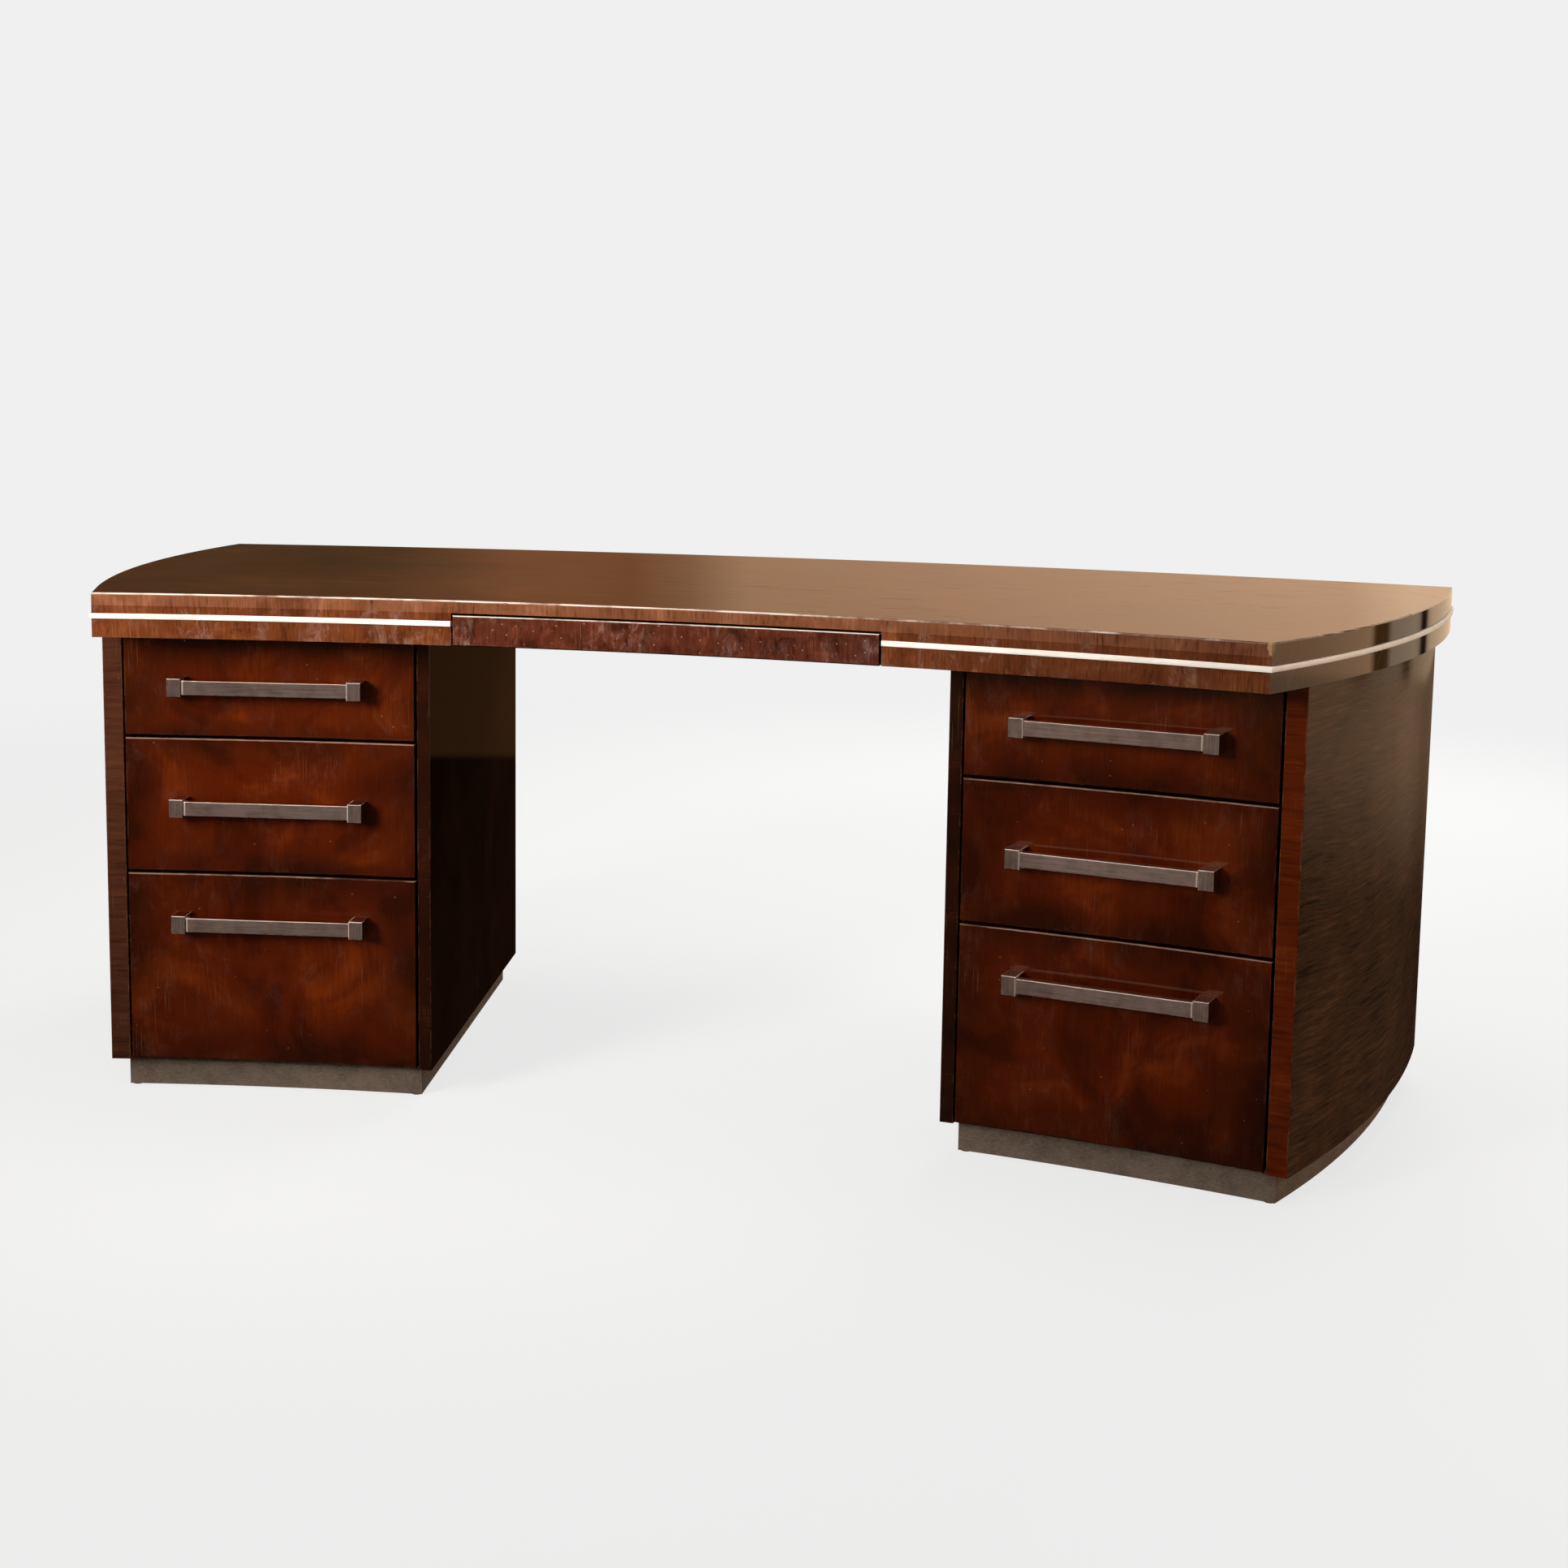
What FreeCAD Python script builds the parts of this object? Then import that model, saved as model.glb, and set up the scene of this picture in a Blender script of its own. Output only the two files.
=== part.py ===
import FreeCAD, Part
import math
import os

import Sketcher
from FreeCAD import Placement, Rotation, Vector

# Partners desk: a thick top with a concave front, a convex back and bowed ends, on two splayed
# pedestals. The sitter's side faces -Y and holds a pencil drawer and six pedestal drawers. The
# partner's side faces +Y and holds a cupboard in each pedestal. The origin is on the floor, under
# the middle of the top's box. Each pedestal has a frame of its own: u runs outwards along its
# front, v runs back from its front face, and u is mirrored on the left.

# Driving sizes in millimetres, with one angle in degrees.
SIZES = {
    # Top
    "desk_height": "762",
    "top_depth": "987",
    "top_front_width": "1642",
    "top_back_width": "2086",
    "top_front_radius": "3171",
    "top_back_radius": "4955",
    "top_end_radius": "1964",
    "top_board_thickness": "18",
    "top_arris_radius": "2",
    "frieze_height": "46",
    "frieze_thickness": "22",
    "band_height": "7.5",
    "band_drop": "29.5",
    "band_proud": "3",
    "band_depth": "3",
    # Pencil drawer
    "pencil_front_width": "612",
    "pencil_front_thickness": "20",
    "pencil_front_proud": "2",
    "pencil_side_gap": "2.5",
    "pencil_top_gap": "3",
    "pencil_box_depth": "380",
    "pencil_box_lift": "4",
    "pencil_box_top_gap": "8",
    "pencil_wall_thickness": "12",
    "pencil_bottom_thickness": "6",
    "pencil_bottom_lift": "2",
    "pencil_wall_clearance": "1.5",
    "guide_thickness": "22",
    "guide_lap": "10.5",
    "rib_depth": "6",
    "rib_height": "8",
    # Pedestals
    "front_overhang": "107",
    "pedestal_splay_angle": "11",
    "pedestal_depth": "717",
    "pedestal_width": "489",
    "pedestal_side_radius": "2197",
    "pedestal_back_radius": "4895",
    "outer_side_thickness": "28.5",
    "outer_side_back_thickness": "49.5",
    "inner_side_thickness": "19.5",
    "carcase_board_thickness": "18",
    "carcase_board_setback": "2",
    "carcase_arris_radius": "1.2",
    "drawer_bay_depth": "480",
    "divider_thickness": "15",
    "bearer_width": "45",
    "bearer_inset": "60",
    "bearer_setback": "60",
    # Plinths
    "plinth_height": "46",
    "plinth_front_inset": "22",
    "plinth_side_inset": "20",
    "plinth_back_inset": "20",
    "plinth_thickness": "18",
    "glide_radius": "8",
    "glide_height": "1.5",
    # Pedestal drawers
    "drawer_front_thickness": "20",
    "drawer_front_proud": "2",
    "drawer_side_gap": "3",
    "drawer_gap": "4",
    "drawer_top_gap": "6",
    "drawer_bottom_gap": "2.5",
    "drawer_arris_radius": "1.5",
    "top_drawer_height": "151",
    "middle_drawer_height": "200",
    "box_back_gap": "20",
    "box_wall_thickness": "12",
    "box_lift": "20",
    "box_drop": "32",
    "box_bottom_thickness": "6",
    "box_bottom_lift": "8",
    "runner_width": "12.7",
    "runner_height": "40",
    "runner_gauge": "1.5",
    "runner_lip": "9",
    "runner_lift": "15",
    "running_clearance": "0.3",
    # Pulls
    "pull_length": "288",
    "pull_post_width": "21",
    "pull_post_height": "27",
    "pull_projection": "36",
    "pull_bar_height": "21",
    "pull_bar_thickness": "13",
    "pull_bar_setback": "2",
    "pull_arris_radius": "1",
    "lower_pull_drop": "71",
    "screw_radius": "2",
    "screw_reach": "16",
    "screw_head_radius": "4",
    "screw_head_height": "2.5",
    "screw_clearance": "0.1",
    # Cupboards
    "door_thickness": "20",
    "door_gap": "3",
    "door_pull_inset": "45",
    "pivot_radius": "4",
    "pivot_collar_radius": "7",
    "pivot_edge": "12",
    "pivot_depth": "8",
    "pivot_reach": "12",
    "pivot_clearance": "0.05",
    "shelf_thickness": "18",
    "shelf_clearance": "1",
    "shelf_setback": "10",
    "shelf_bearer_size": "14",
    "catch_length": "40",
    "catch_width": "12",
    "catch_height": "12",
    "catch_inset": "20",
}

# Places worked out from the driving sizes. The mitres are how far a corner moves for a unit of inset.
# The end and rear places are the centres of the top's end and back curves in a pedestal's frame.
LAYOUT = {
    "slab_bottom": "Sizes.desk_height - Sizes.top_board_thickness - Sizes.frieze_height",
    "board_low": "Sizes.desk_height - Sizes.top_board_thickness",
    "band_low": "Sizes.desk_height - Sizes.band_drop - Sizes.band_height",
    "front_x": "Sizes.top_front_width / 2",
    "front_y": "Sizes.top_depth / -2",
    "front_centre_y": "front_y - sqrt(pow(Sizes.top_front_radius; 2) - pow(front_x; 2))",
    "back_x": "Sizes.top_back_width / 2",
    "back_centre_y": "Sizes.top_depth / 2 - Sizes.top_back_radius",
    "back_y": "back_centre_y + sqrt(pow(Sizes.top_back_radius; 2) - pow(back_x; 2))",
    "chord": "sqrt(pow(back_x - front_x; 2) + pow(back_y - front_y; 2))",
    "end_reach": "sqrt(pow(Sizes.top_end_radius; 2) - pow(chord / 2; 2))",
    "end_centre_x": "(front_x + back_x) / 2 - end_reach * (back_y - front_y) / chord",
    "end_centre_y": "(front_y + back_y) / 2 + end_reach * (back_x - front_x) / chord",
    "front_normal_x": "front_x / Sizes.top_front_radius",
    "front_normal_y": "(front_y - front_centre_y) / Sizes.top_front_radius",
    "front_end_x": "(end_centre_x - front_x) / Sizes.top_end_radius",
    "front_end_y": "(end_centre_y - front_y) / Sizes.top_end_radius",
    "front_meet": "1 + front_normal_x * front_end_x + front_normal_y * front_end_y",
    "front_mitre_x": "(front_normal_x + front_end_x) / front_meet",
    "front_mitre_y": "(front_normal_y + front_end_y) / front_meet",
    "back_normal_x": "(0 - back_x) / Sizes.top_back_radius",
    "back_normal_y": "(back_centre_y - back_y) / Sizes.top_back_radius",
    "back_end_x": "(end_centre_x - back_x) / Sizes.top_end_radius",
    "back_end_y": "(end_centre_y - back_y) / Sizes.top_end_radius",
    "back_meet": "1 + back_normal_x * back_end_x + back_normal_y * back_end_y",
    "back_mitre_x": "(back_normal_x + back_end_x) / back_meet",
    "back_mitre_y": "(back_normal_y + back_end_y) / back_meet",
    "pencil_half": "Sizes.pencil_front_width / 2",
    "opening_half": "pencil_half + Sizes.pencil_side_gap",
    "guide_in": "opening_half - Sizes.guide_lap",
    "guide_out": "guide_in + Sizes.guide_thickness",
    "pencil_back_y": "front_centre_y + Sizes.top_front_radius + Sizes.pencil_front_thickness",
    "pencil_wall_out": "guide_in - Sizes.pencil_wall_clearance",
    "pencil_wall_in": "pencil_wall_out - Sizes.pencil_wall_thickness",
    "pencil_low": "slab_bottom + Sizes.pencil_box_lift",
    "pencil_wall_height": "Sizes.frieze_height - Sizes.pencil_box_lift - Sizes.pencil_box_top_gap",
    "rib_low": "pencil_low + (pencil_wall_height - Sizes.rib_height) / 2",
    "pedestal_radius": "Sizes.top_front_radius + Sizes.front_overhang",
    "pedestal_x": "pedestal_radius * sin(Sizes.pedestal_splay_angle)",
    "pedestal_y": "front_centre_y + pedestal_radius * cos(Sizes.pedestal_splay_angle)",
    "half_front": "Sizes.pedestal_width / 2",
    "inner_face": "Sizes.inner_side_thickness - half_front",
    "outer_face": "half_front - Sizes.outer_side_thickness",
    "half_back": "outer_face + Sizes.outer_side_back_thickness",
    "end_x": "end_centre_x - pedestal_x",
    "end_y": "end_centre_y - pedestal_y",
    "end_u": "end_x * cos(Sizes.pedestal_splay_angle) - end_y * sin(Sizes.pedestal_splay_angle)",
    "end_v": "end_x * sin(Sizes.pedestal_splay_angle) + end_y * cos(Sizes.pedestal_splay_angle)",
    "rear_x": "0 - pedestal_x",
    "rear_y": "back_centre_y - pedestal_y",
    "rear_u": "rear_x * cos(Sizes.pedestal_splay_angle) - rear_y * sin(Sizes.pedestal_splay_angle)",
    "rear_v": "rear_x * sin(Sizes.pedestal_splay_angle) + rear_y * cos(Sizes.pedestal_splay_angle)",
    "frieze_back_v": "rear_v + sqrt(pow(Sizes.top_back_radius - Sizes.frieze_thickness; 2)"
    " - pow(half_back - rear_u; 2))",
    "bay_middle": "(inner_face + outer_face) / 2",
    "box_depth": "Sizes.drawer_bay_depth - Sizes.drawer_front_thickness - Sizes.box_back_gap",
    "bay_floor": "Sizes.plinth_height + Sizes.carcase_board_thickness",
    "bay_ceiling": "slab_bottom - Sizes.carcase_board_thickness",
    "cupboard_back": "Sizes.drawer_bay_depth + Sizes.divider_thickness",
    "door_inside": "Sizes.pedestal_depth - Sizes.door_thickness",
    "door_low": "bay_floor + Sizes.door_gap",
    "door_high": "bay_ceiling - Sizes.door_gap",
    "pivot_u": "outer_face - Sizes.door_gap - Sizes.pivot_edge",
    "pivot_v": "Sizes.pedestal_depth - Sizes.pedestal_back_radius - Sizes.pivot_depth"
    " + sqrt(pow(Sizes.pedestal_back_radius; 2) - pow(pivot_u; 2))",
    "door_pull_u": "inner_face + Sizes.door_gap + Sizes.door_pull_inset",
    "shelf_low": "(bay_floor + bay_ceiling - Sizes.shelf_thickness) / 2",
    "post_offset": "(Sizes.pull_length - Sizes.pull_post_width) / 2",
    "top_drawer_high": "slab_bottom - Sizes.drawer_top_gap",
    "top_drawer_low": "top_drawer_high - Sizes.top_drawer_height",
    "middle_drawer_high": "top_drawer_low - Sizes.drawer_gap",
    "middle_drawer_low": "middle_drawer_high - Sizes.middle_drawer_height",
    "lower_drawer_high": "middle_drawer_low - Sizes.drawer_gap",
    "lower_drawer_low": "Sizes.plinth_height + Sizes.drawer_bottom_gap",
}

SIDES = {"left": -1, "right": 1}
DRAWERS = ("top", "middle", "lower")

doc = FreeCAD.newDocument("PartnersDesk")
nodes = []


def fill_sheet(name, rows):
    """A sheet with one named cell per row."""
    sheet = doc.addObject("Spreadsheet::Sheet", name)
    for row, (alias, content) in enumerate(rows.items(), 1):
        sheet.set(f"A{row}", alias)
        sheet.setAlias(f"B{row}", alias)
        sheet.set(f"B{row}", content)
    doc.recompute()
    return sheet


sizes = fill_sheet("Sizes", SIZES)
layout = fill_sheet("Layout", {alias: f"={formula}" for alias, formula in LAYOUT.items()})


def number(expression):
    """The value of an expression on the sheets."""
    return float(sizes.evalExpression(expression))


class Piece:
    """One solid, built of sketches in the desk's frame or in the frame of one pedestal."""

    def __init__(self, name, side=1, pedestal=False):
        self.name = name
        self.side = side
        self.body = doc.addObject("PartDesign::Body", name)
        self.body.Label = name
        if pedestal:
            splay = f"{-side} * Sizes.pedestal_splay_angle"
            self.body.Placement = Placement(Vector(), Rotation(Vector(0, 0, 1), number(splay)))
            self.body.setExpression("Placement.Base.x", f"{side} * Layout.pedestal_x")
            self.body.setExpression("Placement.Base.y", "Layout.pedestal_y")
            self.body.setExpression("Placement.Rotation.Angle", splay)

    def sketch(self, plane, offset):
        """An empty sketch on one of the body's own planes, moved along that plane's normal."""
        sketch = self.body.newObject("Sketcher::SketchObject", f"{self.name}_sketch")
        support = [item for item in self.body.Origin.OriginFeatures if item.Role == plane]
        sketch.AttachmentSupport = [(support[0], "")]
        sketch.MapMode = "FlatFace"
        sketch.setExpression("AttachmentOffset.Base.z", offset)
        return sketch

    def bind(self, sketch, kind, place, expression):
        """One dimension of a sketch, bound to the sheets."""
        index = sketch.addConstraint(Sketcher.Constraint(kind, *place, number(expression)))
        sketch.setExpression(f"Constraints[{index}]", expression)

    def outline(self, plane, offset, points):
        """A closed outline. A point (x, y) starts a straight edge, and (x, y, way, radius) an arc
        that bulges out of the outline or dips in."""
        sketch = self.sketch(plane, offset)
        places = [(f"{self.side} * ({point[0]})", point[1]) for point in points]
        corners = [Vector(number(x), number(y), 0) for x, y in places]
        ring = list(zip(corners, corners[1:] + corners[:1]))
        turn = math.copysign(1, sum(a.x * b.y - b.x * a.y for a, b in ring))
        starts, ends = [], []
        for point, (start, end) in zip(points, ring):
            if len(point) == 2:
                edge = sketch.addGeometry(Part.LineSegment(start, end))
                order = (1, 2)
            else:
                radius = number(point[3])
                left = turn if point[2] == "out" else -turn
                across = Vector(start.y - end.y, end.x - start.x, 0) * left
                half = (end - start).Length / 2
                across.normalize()
                centre = (start + end) / 2 + across * math.sqrt(radius**2 - half**2)
                first, last = (start, end) if left > 0 else (end, start)
                angles = [math.atan2(p.y - centre.y, p.x - centre.x) for p in (first, last)]
                if angles[1] < angles[0]:
                    angles[1] += 2 * math.pi
                circle = Part.Circle(centre, Vector(0, 0, 1), radius)
                edge = sketch.addGeometry(Part.ArcOfCircle(circle, *angles))
                order = (1, 2) if left > 0 else (2, 1)
            starts.append((edge, order[0]))
            ends.append((edge, order[1]))
        for end, start in zip(ends, starts[1:] + starts[:1]):
            sketch.addConstraint(Sketcher.Constraint("Coincident", *end, *start))
        for start, (x, y) in zip(starts, places):
            self.bind(sketch, "DistanceX", (-1, 1, *start), x)
            self.bind(sketch, "DistanceY", (-1, 1, *start), y)
        for start, point in zip(starts, points):
            if len(point) > 2:
                self.bind(sketch, "Radius", start[:1], point[3])
        return sketch

    def circle(self, plane, offset, centre, radius):
        """A circle about a centre (x, y)."""
        sketch = self.sketch(plane, offset)
        x, y = f"{self.side} * ({centre[0]})", centre[1]
        middle = Vector(number(x), number(y), 0)
        edge = sketch.addGeometry(Part.Circle(middle, Vector(0, 0, 1), number(radius)))
        self.bind(sketch, "DistanceX", (-1, 1, edge, 3), x)
        self.bind(sketch, "DistanceY", (-1, 1, edge, 3), y)
        self.bind(sketch, "Radius", (edge,), radius)
        return sketch

    def feature(self, kind, sketch, length, backwards):
        """A pad or pocket of a sketch. A pocket that takes nothing away is an error."""
        before = self.body.Shape.Volume if kind == "Pocket" else 0
        feature = self.body.newObject(f"PartDesign::{kind}", f"{self.name}_{kind}")
        feature.Profile = sketch
        feature.Reversed = backwards
        feature.setExpression("Length", length)
        self.body.Tip = feature
        doc.recompute()
        if kind == "Pocket" and not self.body.Shape.Volume < before:
            raise RuntimeError(f"{self.name}: a pocket cuts nothing")
        return self

    def pad(self, points, low, height):
        """Adds an upright prism over a plan outline."""
        return self.feature("Pad", self.outline("XY_Plane", low, points), height, False)

    def cut(self, points, low, height):
        """Takes away an upright prism over a plan outline."""
        return self.feature("Pocket", self.outline("XY_Plane", low, points), height, True)

    def post(self, centre, radius, low, height):
        """Adds an upright cylinder."""
        return self.feature("Pad", self.circle("XY_Plane", low, centre, radius), height, False)

    def bore(self, centre, radius, low, height):
        """Takes away an upright cylinder."""
        return self.feature("Pocket", self.circle("XY_Plane", low, centre, radius), height, True)

    def rail(self, points, near, length):
        """Adds a bar of an upright section (x, z) that runs back from a depth."""
        return self.feature("Pad", self.outline("XZ_Plane", f"0 - ({near})", points), length, True)

    def rod(self, centre, radius, near, length):
        """Adds a level cylinder that runs back from a depth."""
        sketch = self.circle("XZ_Plane", f"0 - ({near})", centre, radius)
        return self.feature("Pad", sketch, length, True)

    def drill(self, centre, radius, near, length):
        """Takes away a level cylinder that runs back from a depth."""
        sketch = self.circle("XZ_Plane", f"0 - ({near})", centre, radius)
        return self.feature("Pocket", sketch, length, False)

    def ease(self, radius, wanted):
        """Rounds the edges that a test picks out."""
        base = self.body.Tip
        names = [f"Edge{index}" for index, edge in enumerate(base.Shape.Edges, 1) if wanted(edge)]
        fillet = self.body.newObject("PartDesign::Fillet", f"{self.name}_arris")
        fillet.Base = (base, names)
        fillet.setExpression("Radius", radius)
        self.body.Tip = fillet
        doc.recompute()
        return self

    def node(self):
        """Keeps this solid as a sub-part of its own."""
        nodes.append(self.body)
        return self


def group(name, pieces):
    """Keeps several solids as one sub-part."""
    compound = doc.addObject("Part::Compound", name)
    compound.Label = name
    compound.Links = [piece.body for piece in pieces]
    nodes.append(compound)


def within(low, high, axis):
    """A test for edges whose ends all lie between two places along an axis."""
    least, most = number(low), number(high)
    return lambda edge: all(least < getattr(v.Point, axis) < most for v in edge.Vertexes)


def along(axis):
    """A test for straight edges that run along an axis."""
    return lambda edge: abs(getattr(edge.tangentAt(edge.FirstParameter), axis)) > math.sqrt(1 / 2)


def box_points(left, right, near, far):
    """The corners of a rectangle."""
    return [(left, near), (right, near), (right, far), (left, far)]


def top_front(x, inset="0"):
    """Depth of the top's front edge at x, moved into the desk by an inset."""
    return f"(Layout.front_centre_y + sqrt(pow(Sizes.top_front_radius + {inset}; 2) - pow({x}; 2)))"


def top_back(x, inset="0"):
    """Depth of the top's back edge at x, moved into the desk by an inset."""
    return f"(Layout.back_centre_y + sqrt(pow(Sizes.top_back_radius - {inset}; 2) - pow({x}; 2)))"


def front_corner(inset="0"):
    """The top's front corner, moved into the desk by an inset on both edges."""
    x = f"Layout.front_x + ({inset}) * Layout.front_mitre_x"
    return x, f"Layout.front_y + ({inset}) * Layout.front_mitre_y"


def back_corner(inset="0"):
    """The top's back corner, moved into the desk by an inset on both edges."""
    x = f"Layout.back_x + ({inset}) * Layout.back_mitre_x"
    return x, f"Layout.back_y + ({inset}) * Layout.back_mitre_y"


def front_v(u, inset="0"):
    """Depth of a pedestal's front face at u, moved back by an inset."""
    return f"(sqrt(pow(Layout.pedestal_radius + {inset}; 2) - pow({u}; 2)) - Layout.pedestal_radius)"


def back_v(u, inset="0"):
    """Depth of a pedestal's far face at u, moved forwards by an inset."""
    middle = "Sizes.pedestal_depth - Sizes.pedestal_back_radius"
    return f"({middle} + sqrt(pow(Sizes.pedestal_back_radius - {inset}; 2) - pow({u}; 2)))"


def front_strip(outer, inner):
    """Plan of a strip along the right half of the top's front, between two insets."""
    x = "Layout.opening_half"
    return [
        (x, top_front(x, outer), "in", f"Sizes.top_front_radius + {outer}"),
        front_corner(outer),
        (*front_corner(inner), "out", f"Sizes.top_front_radius + {inner}"),
        (x, top_front(x, inner)),
    ]


def end_strip(outer, inner):
    """Plan of a strip along the top's right end, between two insets."""
    return [
        (*front_corner(outer), "out", f"Sizes.top_end_radius - ({outer})"),
        back_corner(outer),
        (*back_corner(inner), "in", f"Sizes.top_end_radius - ({inner})"),
        front_corner(inner),
    ]


def back_strip(outer, inner):
    """Plan of a strip along the whole of the top's back, between two insets."""
    (outer_x, outer_y), (inner_x, inner_y) = back_corner(outer), back_corner(inner)
    return [
        (outer_x, outer_y, "out", f"Sizes.top_back_radius - ({outer})"),
        (f"0 - ({outer_x})", outer_y),
        (f"0 - ({inner_x})", inner_y, "in", f"Sizes.top_back_radius - ({inner})"),
        (inner_x, inner_y),
    ]


def make_top():
    """The top board, with a rounded upper arris."""
    corner_x, corner_y = front_corner()
    far_x, far_y = back_corner()
    points = [
        (f"0 - ({corner_x})", corner_y, "in", "Sizes.top_front_radius"),
        (corner_x, corner_y, "out", "Sizes.top_end_radius"),
        (far_x, far_y, "out", "Sizes.top_back_radius"),
        (f"0 - ({far_x})", far_y, "out", "Sizes.top_end_radius"),
    ]
    board = Piece("top_board").pad(points, "Layout.board_low", "Sizes.top_board_thickness")
    above = "Layout.board_low + Sizes.top_board_thickness / 2"
    board.ease("Sizes.top_arris_radius", within(above, "2 * Sizes.desk_height", "z")).node()


def frieze(name, side, strip):
    """One frieze piece with the groove for the metal band."""
    piece = Piece(name, side)
    piece.pad(strip("0", "Sizes.frieze_thickness"), "Layout.slab_bottom", "Sizes.frieze_height")
    groove = strip("0 - Sizes.band_proud", "Sizes.band_depth")
    piece.cut(groove, "Layout.band_low", "Sizes.band_height").node()


def band(name, side, strip):
    """One length of the metal band, half let into the frieze."""
    plan = strip("0 - Sizes.band_proud", "Sizes.band_depth")
    return Piece(name, side).pad(plan, "Layout.band_low", "Sizes.band_height")


def make_frieze():
    """The frieze under the edge of the top board, and the metal band in it."""
    for word, side in SIDES.items():
        frieze(f"frieze_front_{word}", side, front_strip)
        frieze(f"frieze_end_{word}", side, end_strip)
        lengths = [band(f"band_front_{word}", side, front_strip)]
        lengths.append(band(f"band_end_{word}", side, end_strip))
        group(f"metal_band_{word}", lengths)
    frieze("frieze_back", 1, back_strip)
    band("metal_band_back", 1, back_strip).node()


def make_guides():
    """Two wooden guides between the front and back frieze, notched behind the front of the pencil
    drawer, with ribs that carry the drawer."""
    guides = []
    inset = "Sizes.frieze_thickness"
    near, far = "Layout.guide_in", "Layout.guide_out"
    rib, edge = f"{near} - Sizes.rib_depth", "Layout.opening_half"
    start = "Layout.pencil_back_y + Sizes.pencil_side_gap"
    stop = "Layout.pencil_back_y + Sizes.pencil_box_depth"
    for word, side in SIDES.items():
        points = [
            (near, start),
            (edge, start),
            (edge, top_front(edge, inset), "in", f"Sizes.top_front_radius + {inset}"),
            (far, top_front(far, inset)),
            (far, top_back(far, inset), "out", f"Sizes.top_back_radius - {inset}"),
            (near, top_back(near, inset)),
        ]
        guide = Piece(f"drawer_guide_{word}", side)
        guide.pad(points, "Layout.slab_bottom", "Sizes.frieze_height")
        guide.pad(box_points(rib, near, start, stop), "Layout.rib_low", "Sizes.rib_height")
        guides.append(guide)
    group("pencil_drawer_guides", guides)


def make_pencil_drawer():
    """The shallow drawer in the frieze: a curved front and a box with grooved sides."""
    half, inset = "Layout.pencil_half", "0 - Sizes.pencil_front_proud"
    back, depth = "Layout.pencil_back_y", "Sizes.pencil_box_depth"
    points = [
        (f"0 - {half}", top_front(half, inset), "in", f"Sizes.top_front_radius + {inset}"),
        (half, top_front(half, inset)),
        (half, back),
        (f"0 - {half}", back),
    ]
    front = Piece("pencil_drawer_front")
    front.pad(points, "Layout.slab_bottom", "Sizes.frieze_height - Sizes.pencil_top_gap")
    show = within("2 * Layout.front_y", "Layout.pencil_back_y - Sizes.pencil_front_thickness / 2", "y")
    front.ease("Sizes.drawer_arris_radius", show).node()
    wall_in, wall_out = "Layout.pencil_wall_in", "Layout.pencil_wall_out"
    end = f"{back} + {depth}"
    low, height = "Layout.pencil_low", "Layout.pencil_wall_height"
    groove = "Layout.guide_in - Sizes.rib_depth - Sizes.running_clearance"
    pieces = []
    for word, side in SIDES.items():
        wall = Piece(f"pencil_wall_{word}", side)
        wall.pad(box_points(wall_in, wall_out, back, end), low, height)
        groove_low = "Layout.rib_low - Sizes.running_clearance"
        groove_height = "Sizes.rib_height + 2 * Sizes.running_clearance"
        wall.cut(box_points(groove, wall_out, back, end), groove_low, groove_height)
        pieces.append(wall)
    start = f"{end} - Sizes.pencil_wall_thickness"
    board = Piece("pencil_back_wall")
    pieces.append(board.pad(box_points(f"0 - {wall_in}", wall_in, start, end), low, height))
    bottom = Piece("pencil_bottom")
    plan = box_points(f"0 - {wall_in}", wall_in, back, start)
    bottom_low = f"{low} + Sizes.pencil_bottom_lift"
    pieces.append(bottom.pad(plan, bottom_low, "Sizes.pencil_bottom_thickness"))
    group("pencil_drawer_box", pieces)


def make_sides(word, side):
    """The bowed outer side and the straight kneehole side of one pedestal."""
    face, edge, far = "Layout.outer_face", "Layout.half_front", "Layout.half_back"
    front_arc = ("in", "Layout.pedestal_radius")
    back_arc = ("out", "Sizes.pedestal_back_radius")
    low = "Sizes.plinth_height"
    height = "Layout.slab_bottom - Sizes.plinth_height"
    outer = Piece(f"{word}_outer_side", side, True)
    points = [
        (face, front_v(face), *front_arc),
        (edge, front_v(edge), "out", "Sizes.pedestal_side_radius"),
        (far, back_v(far), *back_arc),
        (face, back_v(face)),
    ]
    outer.pad(points, low, height).ease("Sizes.carcase_arris_radius", along("z")).node()
    face = "Layout.inner_face"
    inner = Piece(f"{word}_inner_side", side, True)
    points = [
        (f"0 - {edge}", front_v(edge), *front_arc),
        (face, front_v(face)),
        (face, back_v(face), *back_arc),
        (f"0 - {edge}", back_v(edge)),
    ]
    inner.pad(points, low, height).ease("Sizes.carcase_arris_radius", along("z")).node()


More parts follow.
